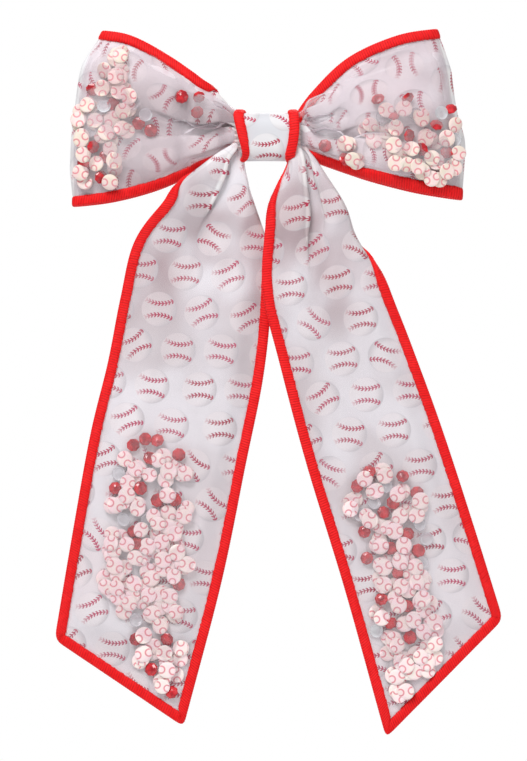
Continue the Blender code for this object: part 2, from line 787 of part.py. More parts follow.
# ---- Assembly ----------------------------------------------------------------------------------------
def main():
    clear_scene()
    bow = add_empty("bow", None, (0, -GRIP_FACE_Y, 0))
    make_loops(bow)
    make_tail_gather(bow)
    make_knot(bow)
    make_gather_thread(bow)
    for side in ("left", "right"):
        tail = add_empty(f"{side}_tail", bow, TAIL_SWING_AXIS)
        make_tail(side, tail)
        tail_fill = add_empty(f"{side}_tail_filling", tail, (0, 0, 0))
        make_filling(f"{side}_tail", tail_fill, tail_surface(side))
        loop_fill = add_empty(f"{side}_loop_filling", bow, (0, 0, 0))
        make_filling(f"{side}_loop", loop_fill, loop_surface(side))
    pin_x, pin_y = in_metres(grip([CLIP_PIN]))[0]
    jaw = add_empty("clip_jaw_pivot", bow, (pin_x, pin_y, 0))
    make_clip(bow, jaw)


main()
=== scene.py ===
"""Looks of the shaker cheer bow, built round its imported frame.

Lengths in the tables are millimetres from the middle of the knot: x to the wearer's left, y to the
back, z up. Everything else is in metres.
"""

import json
import math

import bpy
import numpy as np
from bpy.props import FloatProperty, FloatVectorProperty, IntProperty, PointerProperty
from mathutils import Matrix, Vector


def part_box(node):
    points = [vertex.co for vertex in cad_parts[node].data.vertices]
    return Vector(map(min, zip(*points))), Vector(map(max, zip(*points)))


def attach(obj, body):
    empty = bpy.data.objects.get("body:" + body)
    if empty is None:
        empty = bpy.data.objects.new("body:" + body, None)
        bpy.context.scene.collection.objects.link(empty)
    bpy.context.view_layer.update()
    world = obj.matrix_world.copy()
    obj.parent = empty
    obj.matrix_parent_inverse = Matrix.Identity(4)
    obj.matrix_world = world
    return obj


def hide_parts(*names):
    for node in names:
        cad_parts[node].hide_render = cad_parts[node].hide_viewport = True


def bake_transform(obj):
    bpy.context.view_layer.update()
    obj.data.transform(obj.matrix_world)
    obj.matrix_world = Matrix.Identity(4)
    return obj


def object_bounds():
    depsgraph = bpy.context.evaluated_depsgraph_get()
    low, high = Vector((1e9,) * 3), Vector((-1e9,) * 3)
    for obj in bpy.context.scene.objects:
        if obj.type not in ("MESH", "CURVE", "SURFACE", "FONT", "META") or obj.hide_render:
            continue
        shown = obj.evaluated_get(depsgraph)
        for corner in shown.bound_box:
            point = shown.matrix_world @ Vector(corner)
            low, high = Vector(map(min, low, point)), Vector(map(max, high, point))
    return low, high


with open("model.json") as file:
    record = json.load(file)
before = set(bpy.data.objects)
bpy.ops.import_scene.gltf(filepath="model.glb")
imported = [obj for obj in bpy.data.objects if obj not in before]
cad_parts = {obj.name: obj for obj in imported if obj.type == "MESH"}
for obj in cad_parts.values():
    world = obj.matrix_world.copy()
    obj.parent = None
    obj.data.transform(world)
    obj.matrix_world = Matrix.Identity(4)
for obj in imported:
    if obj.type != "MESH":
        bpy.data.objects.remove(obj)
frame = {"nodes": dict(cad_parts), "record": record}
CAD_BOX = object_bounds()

bl_info = {
    "name": "Shaker cheer bow",
    "version": (1, 0, 0),
    "blender": (4, 5, 0),
    "location": "3D View > Sidebar > Bow",
    "description": "Builds the bow's cloth, film, thread edges, filling, knot and clip on its frame",
    "category": "Add Mesh",
}

MM = 0.001
SIDES = ("left", "right")


# ---- Settings --------------------------------------------------------------------------------------
class BowClothSettings(bpy.types.PropertyGroup):
    """The printed cloth and the clear film on it."""

    ground: FloatVectorProperty(
        name="Ground", description="Colour of the cloth between the balls",
        subtype="COLOR", default=(0.62, 0.59, 0.602), min=0, max=1,
    )
    ball_shade: FloatVectorProperty(
        name="Ball shade", description="Grey on the shaded side of a printed ball",
        subtype="COLOR", default=(0.52, 0.51, 0.53), min=0, max=1,
    )
    seam: FloatVectorProperty(
        name="Seam", description="Colour of the printed seams",
        subtype="COLOR", default=(0.38, 0.004, 0.04), min=0, max=1,
    )
    back: FloatVectorProperty(
        name="Reverse", description="Colour of the cloth's unprinted side",
        subtype="COLOR", default=(0.72, 0.62, 0.62), min=0, max=1,
    )
    ball: FloatProperty(
        name="Ball", description="Width of a printed ball", unit="LENGTH", default=0.0148,
    )
    pitch_across: FloatProperty(
        name="Pitch across", description="From ball to ball in a row", unit="LENGTH",
        default=0.0186,
    )
    pitch_along: FloatProperty(
        name="Pitch along", description="From row to row", unit="LENGTH", default=0.0158,
    )
    thick: FloatProperty(
        name="Cloth", description="Thickness of the cloth", unit="LENGTH", default=0.0005,
    )
    film: FloatProperty(
        name="Film", description="Thickness of the film", unit="LENGTH", default=0.0002,
    )
    film_gap: FloatProperty(
        name="Film gap", description="From the cloth's middle to the film's where it lies flat",
        unit="LENGTH", default=0.00075,
    )
    pocket: FloatProperty(
        name="Pocket", description="From the cloth's middle to the film's over the filling",
        unit="LENGTH", default=0.0042,
    )
    haze: FloatProperty(
        name="Haze", description="Share of light that the film scatters", default=0.05,
        min=0, max=1, subtype="FACTOR",
    )


class BowThreadSettings(bpy.types.PropertyGroup):
    """The thread oversewn along every edge."""

    colour: FloatVectorProperty(
        name="Thread", description="Colour of the thread", subtype="COLOR",
        default=(0.8, 0.004, 0.006), min=0, max=1,
    )
    width: FloatProperty(
        name="Width", description="Width of the seam over the edge", unit="LENGTH",
        default=0.0043,
    )
    height: FloatProperty(
        name="Height", description="Thickness of the seam", unit="LENGTH", default=0.0027,
    )
    outside: FloatProperty(
        name="Overhang", description="How far the thread stands past the cut edge",
        unit="LENGTH", default=0.0012,
    )
    stitch: FloatProperty(
        name="Stitch", description="From stitch to stitch", unit="LENGTH", default=0.00105,
    )


class BowFillingSettings(bpy.types.PropertyGroup):
    """The loose pieces between cloth and film."""

    slice_width: FloatProperty(
        name="Slice", description="Width of a clay slice", unit="LENGTH", default=0.0070,
    )
    slice_thick: FloatProperty(
        name="Slice thickness", description="Thickness of a clay slice", unit="LENGTH",
        default=0.0008,
    )
    bead_width: FloatProperty(
        name="Bead", description="Width of a bead", unit="LENGTH", default=0.0058,
    )
    tail_slices: IntProperty(
        name="Slices in a tail", description="How many slices are tried in each tail",
        default=1600, min=0,
    )
    loop_slices: IntProperty(
        name="Slices in a loop", description="How many slices are tried in each loop",
        default=900, min=0,
    )
    seed: IntProperty(name="Seed", description="Which scatter of the pieces", default=5)


class BowStageSettings(bpy.types.PropertyGroup):
    """Floor, lights and camera."""

    distance: FloatProperty(
        name="Distance", description="From the knot to the camera", unit="LENGTH", default=1.2,
    )
    lens: FloatProperty(
        name="Lens", description="Focal length in millimetres", default=135.2, min=20,
    )
    key: FloatProperty(
        name="Key", description="Power of the key light", unit="POWER", default=15.5,
    )
    sky: FloatProperty(
        name="Surroundings", description="Strength of the white surroundings", default=0.5,
    )
    floor_drop: FloatProperty(
        name="Floor", description="From the tails' points to the floor", unit="LENGTH",
        default=0.22,
    )


# ---- Shapes, in millimetres from the middle of the knot -------------------------------------------
LOOPS = {
    "left": {
        "top": [(-11, 6.4), (-24.5, 20), (-41.5, 32.6), (-57, 41), (-69, 43.6)],
        "bottom": [(-11, -6.4), (-27, -12.3), (-45, -20.3), (-64, -25.6), (-81.4, -28)],
        "outline": [(0, 0), (0.2, -4.0), (0.4, -5.9), (0.6, -6.6), (0.75, -7.0), (0.82, -6.6),
                    (0.92, -3.4), (1, 0)],
        "squeeze": [(0, 0), (0.2, 0.3), (0.38, 0.6), (0.5, 0.78), (0.57, 0.86), (0.75, 0.93),
                    (1, 1)],
        "top_tuck": [(0, 10), (0.1, 9), (0.18, 6), (0.26, 0), (1, 0)],
        "folds": [
            (0.565, 3.4, 2.8, 0.035, 0.62), (0.385, -2.0, 1.2, 0.03, 0.66),
            (0.17, 0.9, 0.9, 0.045, 0.45), (0.3, -0.7, 0.6, 0.03, 0.35),
            (0.84, 0.8, 0.7, 0.04, 0.45), (0.72, -0.6, 0.5, 0.03, 0.35),
        ],
        "lobes": [(0.57, 1.0, 2.2, 0.95), (0, 0.42, 1.8, 0.9)],
    },
    "right": {
        "top": [(11, 6.4), (20, 18.6), (34.5, 32.2), (54, 41), (71.2, 44.4)],
        "bottom": [(11, -6.4), (30, -12.6), (45, -17.4), (63, -22), (81.4, -25.2)],
        "outline": [(0, 0), (0.08, 1.4), (0.3, 4.7), (0.37, 4.9), (0.5, 3.4), (0.6, 3.2),
                    (0.77, 3.5), (0.9, 1.8), (1, 0)],
        "squeeze": [(0, 0), (0.15, 0.35), (0.31, 0.7), (0.45, 0.82), (0.6, 0.9), (0.8, 0.96),
                    (1, 1)],
        "top_tuck": [(0, 0), (1, 0)],
        "folds": [
            (0.31, -2.8, 2.7, 0.035, 0.82), (0.13, 0.9, 0.8, 0.045, 0.5),
            (0.45, 2.2, 1.6, 0.03, 0.5), (0.55, -1.8, 1.2, 0.03, 0.44),
            (0.68, 1.8, 1.3, 0.035, 0.44), (0.83, -1.4, 1.1, 0.035, 0.42),
        ],
        "lobes": [(0, 0.31, 2.6, 0.95), (0.31, 1.0, 1.0, 0.8)],
    },
}
# From above: (share of the way from knot to outer fold, y), front layer first, then the back.
LOOP_PLAN = [
    (0, -0.6), (0.13, -1.3), (0.3, -3.1), (0.5, -5.4), (0.7, -6.4), (0.86, -5.2), (0.955, -2.6),
    (1, 1.6),
    (0.955, 5.4), (0.86, 6.9), (0.7, 7.2), (0.5, 6.0), (0.3, 4.4), (0.13, 3.1), (0, 2.4),
]
LOOP_MIDDLE_Y = 1.5
LOOP_EDGE_FLATNESS = 0.35
LOOP_STRIP = 76.0  # width of the loop strip before it is gathered
HALF_KNOT = 11.0  # of the loop strip's length, hidden under half the knot
LOOP_PRINT_SHIFT = (0.004, 0.006)  # of the print on the loops, in metres
LOOP_POCKET = 1.17  # depth of the loops' pockets, as a share of the tails'
WIDE_SEAM = 0.22  # by how large a share the right loop's bottom seam gets wider
SEAM_FORWARD = 0.3 * MM  # how far the thread's middle lies in front of the cloth
SEAM_SMOOTHING = 60  # rounds that even out a seam's path
TUCK_SHIFT = 2.3  # how far a tail's edge moves in where it is turned under, in millimetres
WEAVE_DEPTH = 0.00003  # of the bump that stands for the weave, in metres

# Both edges of each tail, knot end first: (x, y, z). "tuck" is how far the edge is turned under.
TAILS = {
    "left": {
        "outer": [(-10.5, -4.6, -0.4), (-17.5, -6.6, -4.6), (-25.5, -8.6, -10.5),
                  (-40, -9, -25.8), (-54.2, -8, -44), (-60.3, -6.6, -68), (-65.6, -6, -95),
                  (-72.9, -6, -125), (-80.3, -6, -166), (-87.7, -6, -209.8)],
        "inner": [(-10.3, -4.6, -6.5), (-10.0, -5.4, -12), (-8.0, -6.6, -19),
                  (-5.0, -7, -28), (-1.2, -6.4, -44), (0.2, -6, -68), (-2.9, -6, -100),
                  (-10.3, -6, -137), (-20.4, -6, -186), (-35.8, -6, -244.8)],
        "outer_tuck": [(0, 12), (0.17, 11), (0.22, 8.6), (0.25, 6), (0.29, 3.4), (0.34, 0), (1, 0)],
        "inner_tuck": [(0, 11), (0.3, 10), (0.4, 7), (0.46, 3), (0.52, 0), (1, 0)],
        "folds": [(0.42, -2.6, 2.4, 0.03, 0.46), (0.75, 0.9, 0.7, 0.05, 0.46)],
        "lobes": [(0.05, 0.42, 1.2, 0.5)],
        "lean": 11.2,
        "tilt": 0.0,
        "print_shift": (0.003, 0.0045),
        "turn": 4.0,
    },
    "right": {
        "outer": [(10.8, -4.6, -0.4), (18, -6.6, -6), (24.5, -8, -16), (33.2, -8.8, -30),
                  (38.6, -8.4, -46), (51, -6.6, -68), (63.6, -5.5, -100), (73.6, -5.5, -128),
                  (85.9, -5.5, -166), (97, -5.5, -201.6)],
        "inner": [(10.0, -4.6, -6.5), (9.6, -6, -12), (6.6, -8, -20), (2.7, -9.8, -30),
                  (-0.3, -11.6, -44), (-0.8, -12, -66), (5.9, -11.5, -94), (17.4, -11.5, -137),
                  (33, -11.5, -188), (49.8, -11.5, -248.4)],
        "outer_tuck": [(0, 12), (0.38, 9.5), (0.43, 6), (0.49, 2.4), (0.55, 0), (1, 0)],
        "inner_tuck": [(0, 4.6), (0.15, 4.0), (0.3, 2.2), (0.42, 0), (1, 0)],
        "folds": [(0.61, 3.2, 1.8, 0.022, 0.56), (0.44, -1.8, 1.0, 0.03, 0.5)],
        "lobes": [(0.61, 1.0, 1.0, 0.5), (0.0, 0.44, 1.2, 0.5)],
        "lean": -17.2,
        "tilt": 6.0,
        "print_shift": (0.007, 0.009),
        "turn": -6.0,
    },
}
TAIL_FLAT_FROM = 6
TAIL_STRIP = 62.0
ROLL = 1.7  # radius of a turned-under edge

# Filling: rough heaps as (x, z, radius) or loop shares (outward, upward, radius), and set beads.
HEAPS = {
    "left_tail": [(-56, -140, 7), (-40, -138, 7), (-61, -153, 6), (-48, -153, 8),
                  (-38, -159, 6), (-47, -165, 9), (-59, -172, 9), (-43, -176, 10),
                  (-34, -177, 4), (-52, -183, 11), (-64, -186, 5), (-48, -193, 10),
                  (-58, -193, 6), (-45, -201, 8), (-47, -212, 7), (-40, -215, 5),
                  (-51, -217, 4), (-43, -225, 5), (-41, -233, 3)],
    "right_tail": [(43, -143, 6), (53, -146, 7), (62, -158, 6), (36, -153, 4), (50, -164, 9),
                   (43, -160, 5), (55, -174, 9), (48, -178, 7), (60, -184, 6), (53, -188, 9),
                   (51.5, -198, 7), (61, -196, 7), (56, -206, 7), (54.5, -213, 6), (65, -207, 7),
                   (67, -214, 5), (56, -222, 5), (63, -220, 5), (56, -231, 3)],
    "left_loop": [(0.8, 0.72, 6), (0.84, 0.52, 10), (0.72, 0.53, 8), (0.85, 0.22, 9),
                  (0.86, 0.38, 6), (0.78, 0.87, 2.4)],
    "right_loop": [(0.72, 0.42, 11), (0.86, 0.36, 11), (0.6, 0.42, 8), (0.34, 0.16, 6),
                   (0.84, 0.2, 8), (0.66, 0.2, 4)],
}
RED_BEADS = {
    "left_tail": [(-56, -129), (-51, -126.5), (-46, -127), (-49, -134.5), (-37, -133),
                  (-53, -147), (-63.5, -147), (-46, -152), (-38.5, -152), (-56, -165),
                  (-54.5, -170), (-37, -187), (-55, -210), (-42, -210), (-48.5, -222.5),
                  (-40, -232)],
    "right_tail": [(42, -140), (37, -146), (56, -142), (62, -149), (52, -153), (48, -157),
                   (40, -165), (58, -166), (51, -172), (62.5, -173), (41, -176), (54, -182),
                   (58, -196), (47, -193), (51, -203), (59, -209)],
    "left_loop": [(0.4, 0.74), (0.31, 0.8), (0.32, 0.66), (0.9, 0.66), (0.87, 0.32), (0.83, 0.14),
                  (0.62, 0.47), (0.55, 0.43), (0.92, 0.22), (0.78, 0.58), (0.8, 0.26)],
    "right_loop": [(0.75, 0.6), (0.72, 0.36), (0.95, 0.52), (0.6, 0.62), (0.86, 0.42),
                   (0.9, 0.26), (0.2, 0.2), (0.3, 0.16), (0.66, 0.5), (0.78, 0.26)],
}
CLEAR_BEADS = {
    "left_tail": [(-42, -127), (-50, -152.5), (-62, -141), (-42, -146), (-60, -160),
                  (-55, -202), (-46, -140), (-50, -160), (-57, -213), (-40, -236)],
    "right_tail": [(35, -142), (58, -148), (63, -162), (64, -178), (61, -190), (45, -206),
                   (44, -153), (38, -158), (49, -146), (66, -168)],
    "left_loop": [(0.82, 0.56), (0.6, 0.53), (0.66, 0.6), (0.74, 0.46), (0.88, 0.42)],
    "right_loop": [(0.94, 0.34), (0.58, 0.5), (0.66, 0.56), (0.9, 0.5), (0.78, 0.5)],
}


# ---- Numbers -----------------------------------------------------------------------------------------
def knot_middle():
    """Where the tables count from: the knot's middle, a little in front of the band's own."""
    low, high = (np.array(corner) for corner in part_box("knot_fabric"))
    return (low + high) / 2 + np.array((0, 0.4 * MM, 0))


MIDDLE = knot_middle()


def smooth(low, high, value):
    share = np.clip((np.asarray(value, float) - low) / (high - low), 0, 1)
    return share * share * (3 - 2 * share)


def through(points, shares):
    """Places on the smooth curve through points, for shares from 0 to 1."""
    points = np.asarray(points, float)
    shares = np.atleast_1d(np.asarray(shares, float))
    last = len(points) - 1
    ends = (2 * points[0] - points[1], 2 * points[last] - points[last - 1])
    padded = np.vstack([ends[0], points, ends[1]])
    place = np.clip(shares, 0, 1) * last
    start = np.minimum(place.astype(int), last - 1)
    f = (place - start)[:, None]
    before, here, there, after = (padded[start + k] for k in range(4))
    return 0.5 * (
        2 * here
        + (there - before) * f
        + (2 * before - 5 * here + 4 * there - after) * f * f
        + (3 * here - 3 * there + after - before) * f**3
    )


def graph(pairs, value):
    """The value read off a graph given as (x, y) pairs, with rounded corners."""
    xs, ys = np.array(pairs, float).T
    value = np.asarray(value, float)
    reach = 0.02
    return sum(np.interp(value + shift, xs, ys) for shift in (-reach, 0, reach)) / 3


def unit(vectors):
    return vectors / np.maximum(np.linalg.norm(vectors, axis=-1, keepdims=True), 1e-12)


def sheet_normals(points):
    return unit(np.cross(np.gradient(points, axis=0), np.gradient(points, axis=1)))


def ripple(a, b, seed, octaves=3):
    """Soft even unevenness between about -1 and 1 over two coordinates in millimetres."""
    draw = np.random.default_rng(seed)
    total = np.zeros(np.broadcast(a, b).shape)
    for octave in range(octaves):
        for _ in range(4):
            turn, phase = draw.uniform(0, 2 * math.pi, 2)
            wave = draw.uniform(22, 46) / 1.9**octave
            run = (a * math.cos(turn) + b * math.sin(turn)) * 2 * math.pi / wave
            total = total + np.sin(run + phase) / (4 * 1.7**octave)
    return total


# ---- Mesh helpers ------------------------------------------------------------------------------------
def new_object(name, vertices, faces, skins, uv=None, uv_name="strip", smooth_faces=True):
    """An object from plain arrays. uv holds one pair for each vertex."""
    mesh = bpy.data.meshes.new(name)
    mesh.from_pydata([tuple(v) for v in vertices], [], [tuple(f) for f in faces])
    if uv is not None:
        layer = mesh.uv_layers.new(name=uv_name)
        corners = np.empty(len(mesh.loops), np.int32)
        mesh.loops.foreach_get("vertex_index", corners)
        layer.data.foreach_set("uv", np.asarray(uv, np.float32)[corners].ravel())
    for skin in skins if isinstance(skins, (list, tuple)) else [skins]:
        mesh.materials.append(skin)
    mesh.polygons.foreach_set("use_smooth", [smooth_faces] * len(mesh.polygons))
    mesh.update()
    made = bpy.data.objects.new(name, mesh)
    bpy.context.scene.collection.objects.link(made)
    return made


def grid_faces(rows, columns, wraps=False):
    faces = []
    for i in range(rows if wraps else rows - 1):
        j = (i + 1) % rows
        for k in range(columns - 1):
            faces.append(
                (i * columns + k, i * columns + k + 1, j * columns + k + 1, j * columns + k)
            )
    return faces


def sheet_object(name, points, normals, uv, thick, skins, wraps=False):
    """A sheet through a grid of points, with real thickness. The second skin is the reverse."""
    rows, columns = points.shape[:2]
    faces = grid_faces(rows, columns, wraps)
    corner = points[0, 0], points[0, 1], points[1, 0]
    if np.dot(np.cross(corner[1] - corner[0], corner[2] - corner[0]), normals[0, 0]) < 0:
        faces = [face[::-1] for face in faces]
    made = new_object(name, points.reshape(-1, 3), faces, skins, uv.reshape(-1, 2))
    solid = made.modifiers.new("thickness", "SOLIDIFY")
    solid.thickness = thick
    solid.offset = 0
    if isinstance(skins, (list, tuple)) and len(skins) > 1:
        solid.material_offset = 1
    return made


def joined(name, parts, skin, uv_name="strip", smooth_faces=True):
    """One object from (vertices, faces, uv) parts."""
    vertices, faces, uvs, count = [], [], [], 0
    for part_vertices, part_faces, part_uv in parts:
        vertices.append(part_vertices)
        uvs.append(part_uv)
        faces.extend([tuple(i + count for i in face) for face in part_faces])
        count += len(part_vertices)
    return new_object(
        name, np.vstack(vertices), faces, skin, np.vstack(uvs), uv_name, smooth_faces
    )


# ---- Shader arithmetic -------------------------------------------------------------------------------
class Sum:
    """A number in a shader, so that arithmetic on it can be written as usual."""

    def __init__(self, tree, socket):
        self.tree = tree
        self.socket = socket

    def _node(self, operation, *others):
        node = self.tree.nodes.new("ShaderNodeMath")
        node.operation = operation
        for slot, value in zip(node.inputs, (self, *others)):
            if isinstance(value, Sum):
                self.tree.links.new(value.socket, slot)
            else:
                slot.default_value = value
        return Sum(self.tree, node.outputs[0])

    def __add__(self, other):
        return self._node("ADD", other)

    def __sub__(self, other):
        return self._node("SUBTRACT", other)

    def __mul__(self, other):
        return self._node("MULTIPLY", other)

    def __truediv__(self, other):
        return self._node("DIVIDE", other)

    def __getattr__(self, operation):
        if operation.startswith("_"):
            raise AttributeError(operation)
        return lambda *others: self._node(operation.upper(), *others)

    def between(self, low, high):
        """0 below low, 1 above high, smooth between them."""
        node = self.tree.nodes.new("ShaderNodeMapRange")
        node.interpolation_type = "SMOOTHSTEP"
        self.tree.links.new(self.socket, node.inputs["Value"])
        node.inputs["From Min"].default_value = low
        node.inputs["From Max"].default_value = high
        return Sum(self.tree, node.outputs["Result"])


class Skin:
    """A material under construction: a tree with a Principled shader and shortcuts to add nodes."""

    def __init__(self, name, roughness=0.6, metallic=0.0):
        self.material = bpy.data.materials.new(name)
        self.material.use_nodes = True
        self.tree = self.material.node_tree
        self.shader = self.tree.nodes["Principled BSDF"]
        self.set("Roughness", roughness)
        self.set("Metallic", metallic)

    def set(self, socket, value):
        slot = self.shader.inputs[socket]
        if slot.type == "RGBA":
            value = (*value[:3], 1)
        slot.default_value = value

    def node(self, kind, **settings):
        made = self.tree.nodes.new("ShaderNode" + kind)
        for key, value in settings.items():
            setattr(made, key, value)
        return made

    def link(self, source, target):
        self.tree.links.new(source.socket if isinstance(source, Sum) else source, target)

    def uv(self, layer="strip"):
        """The layer's two coordinates, in millimetres."""
        place = self.node("UVMap", uv_map=layer)
        apart = self.node("SeparateXYZ")
        self.link(place.outputs[0], apart.inputs[0])
        return [Sum(self.tree, apart.outputs[k]) * 1000 for k in (0, 1)]

    def noise(self, scale, detail=3.0, place=None):
        made = self.node("TexNoise")
        made.inputs["Scale"].default_value = scale
        made.inputs["Detail"].default_value = detail
        if place is None:
            place = self.node("TexCoord").outputs["Object"]
        self.link(place, made.inputs["Vector"])
        return Sum(self.tree, made.outputs["Fac"])

    def joined(self, x, y):
        """Two numbers as one vector."""
        made = self.node("CombineXYZ")
        for slot, value in zip(made.inputs, (x, y)):
            self.link(value, slot)
        return made.outputs[0]

    def mix(self, share, first, second):
        """The colour that goes from first to second with share."""
        made = self.node("Mix", data_type="RGBA")
        for slot, value in ((made.inputs[0], share), (made.inputs[6], first),
                            (made.inputs[7], second)):
            if isinstance(value, (Sum, bpy.types.NodeSocket)):
                self.link(value, slot)
            elif isinstance(value, (int, float)):
                slot.default_value = value
            else:
                slot.default_value = (*value[:3], 1)
        return made.outputs[2]

    def colour(self, source):
        self.link(source, self.shader.inputs["Base Color"])

    def rough(self, source):
        self.link(source, self.shader.inputs["Roughness"])

    def bump(self, height, distance, strength=1.0):
        made = self.node("Bump")
        made.inputs["Strength"].default_value = strength
        made.inputs["Distance"].default_value = distance
        self.link(height, made.inputs["Height"])
        self.link(made.outputs[0], self.shader.inputs["Normal"])


SKINS = {}


def skin(name):
    """A finished material by its name, made when it is first asked for."""
    if name not in SKINS:
        SKINS[name] = SKIN_MAKERS[name]().material
    return SKINS[name]


def loop_print():
    """The print on the loops, under their doubled film."""
    look = bpy.context.scene.bow_cloth
    return printed_cloth("loop_print", lambda made, v: look.ground, (0.82, 0.815, 0.835))


def tail_print():
    """The print on the tails, with painted shade (greyer and pinker) near the knot and painted light
    (paler) towards their tips.
    """
    look = bpy.context.scene.bow_cloth

    def ground(made, v):
        # Painted shade: within about 50 to 86 mm of the knot the ground turns greyer and pinker.
        painted_shade_colour = tuple(part * shade for part, shade in zip(look.ground, (0.72, 0.60, 0.61)))
        near = made.mix(v.absolute().between(50.0, 86.0), painted_shade_colour, look.ground)
        # Painted light: from about 110 to 200 mm down, the ground turns paler towards the tips, where the
        # key lamp lights less.
        return made.mix(v.absolute().between(110.0, 200.0), near, (0.82, 0.785, 0.8))

    return printed_cloth("tail_print", ground, (0.80, 0.81, 0.83))


def knot_print():
    """The print on the knot, which has no film: bluish white, darker than the same cloth elsewhere as
    painted shade against the key lamp that strikes it, with painted shade in pinkish grey on its lower
    front and underside.
    """

    def ground(made, v):
        # Painted shade: pinkish grey below v = -31 mm (lower front and underside), and a darkened bluish
        # ground above -21 mm.
        return made.mix(v.between(-31.0, -21.0), (0.5, 0.40, 0.44), (0.53, 0.52, 0.56))

    # The pale patches are darkened too, as painted shade against the key lamp.
    return printed_cloth("knot_print", ground, (0.63, 0.635, 0.67))


def printed_cloth(name, ground_at, pale):
    """Off-white cloth printed with balls in staggered rows, each with two stitched seams.

    ground_at gives the colour between the balls from the shader and the place along the strip.
    """
    look = bpy.context.scene.bow_cloth
    made = Skin(name, roughness=0.62)
    made.set("Sheen Weight", 0.15)
    made.set("Sheen Roughness", 0.4)
    u, v = made.uv()
    pitch_u, pitch_v, radius = (k / MM for k in (look.pitch_across, look.pitch_along, look.ball / 2))
    row = (v / pitch_v).floor()
    shifted = u + row.modulo(2).absolute() * (pitch_u / 2)
    column = (shifted / pitch_u).floor()
    draw = made.node("TexWhiteNoise", noise_dimensions="2D")
    made.link(made.joined(column, row), draw.inputs["Vector"])
    drawn = made.node("SeparateXYZ")
    made.link(draw.outputs["Color"], drawn.inputs[0])
    first, second, third = (Sum(made.tree, drawn.outputs[k]) for k in range(3))
    across = shifted - (column + 0.5) * pitch_u + (first - 0.5) * 2.0
    along = v - (row + 0.5) * pitch_v + (second - 0.5) * 1.6
    turned = (third - 0.6).between(0.0, 0.01) * -0.55 + (third - 0.8).between(0.0, 0.01) * 1.2
    turned = turned + (third - 0.93).between(0.0, 0.01) * 2.9 + (first - 0.5) * 0.25
    cosine, sine = turned.cosine(), turned.sine()
    x = across * cosine - along * sine
    y = across * sine + along * cosine

    from_middle = (x * x + y * y).sqrt()
    inside = (from_middle / radius * -1 + 1).between(0.0, 0.04)
    shade_x, shade_y = x + 3.2, y - 1.2
    shade = ((shade_x * shade_x + shade_y * shade_y).sqrt() / radius).between(0.95, 1.42)
    rim = ((from_middle / radius - 0.98).absolute() * -1 + 0.06).between(0.0, 0.05)
    patchy = made.noise(26, 2.0).between(0.36, 0.62)
    ground = made.mix(patchy, ground_at(made, v), pale)

    ball = made.mix(shade * 0.65, made.mix(0.35, ground, (0.87, 0.83, 0.82)), look.ball_shade)
    ground = made.mix(inside, ground, ball)
    ground = made.mix(rim * (x + 9.0).between(0.0, 16.0) * 0.22, ground, (0.42, 0.42, 0.47))

    bend, gap, half = 12.0, 2.35, 6.3  # of a seam, in millimetres
    up = y.absolute() * -1 + (gap + bend)
    off = (x * x + up * up).sqrt() - bend
    run = x.arctan2(up) * bend
    ends = (run.absolute() * -1 + half).between(0.0, 0.5)
    fade_mask = run.between(-half - 1.5, -half + 4.5)
    line = (off.absolute() * -1 + 0.3).between(0.0, 0.2)
    chevron = ((run + off.absolute() * 0.75) / 1.4).fract()
    tick = (chevron * -1 + 0.58).between(0.0, 0.14) * (off.absolute() * -1 + 1.08).between(0.0, 0.15)
    seam = line.maximum(tick) * ends * inside * fade_mask
    uneven = made.noise(230, 2.0).between(0.2, 0.6) * 0.2 + 0.8
    tint = made.mix(first, look.seam, (0.5, 0.04, 0.12))
    made.colour(made.mix(seam * uneven, ground, tint))
    made.bump(weave(made, u, v), WEAVE_DEPTH, 0.5)
    return made


def weave(made, u, v):
    """The cloth's plain weave, with some threads thicker than others."""
    return (u * 9.0).sine() * (v * 9.0).sine() + made.noise(2600, 2.0) * 0.6


def cloth_reverse():
    """The cloth's unprinted side: the print shows through a little."""
    look = bpy.context.scene.bow_cloth
    made = Skin("cloth_reverse", roughness=0.7)
    made.set("Sheen Weight", 0.1)
    u, v = made.uv()
    ghost = made.noise(140, 2.0).between(0.45, 0.62)
    made.colour(made.mix(ghost * 0.5, look.back, (0.8, 0.72, 0.73)))
    made.bump(weave(made, u, v), WEAVE_DEPTH, 0.6)
    return made


def clear_film():
    """Thin clear vinyl: mostly see-through, with a milky haze and a soft gloss."""
    return film_skin("clear_film", (0.98, 0.968, 0.974), 1.0)


def milky_film():
    """The same vinyl doubled over the loops, where it looks pinker."""
    return film_skin("milky_film", (0.95, 0.92, 0.93), 2.2)


def film_skin(name, tint, milkiness):
    haze = bpy.context.scene.bow_cloth.haze * milkiness
    made = Skin(name, roughness=0.2)
    made.set("IOR", 1.5)
    made.set("Specular IOR Level", 0.6)
    made.colour(made.mix(made.noise(60, 2.0), (0.97, 0.95, 0.97), (0.93, 0.91, 0.96)))
    cloud = made.noise(55, 3.0).between(0.38, 0.72)
    glance = made.node("LayerWeight")
    glance.inputs["Blend"].default_value = 0.18
    share = cloud * haze + haze * 0.6 + Sum(made.tree, glance.outputs["Fresnel"]) * 0.5
    wrinkle = made.noise(120, 2.0) + made.noise(420, 2.0) * 0.25
    made.bump(wrinkle, 0.0006, 0.35)
    return mixed_clear(made, share, tint)


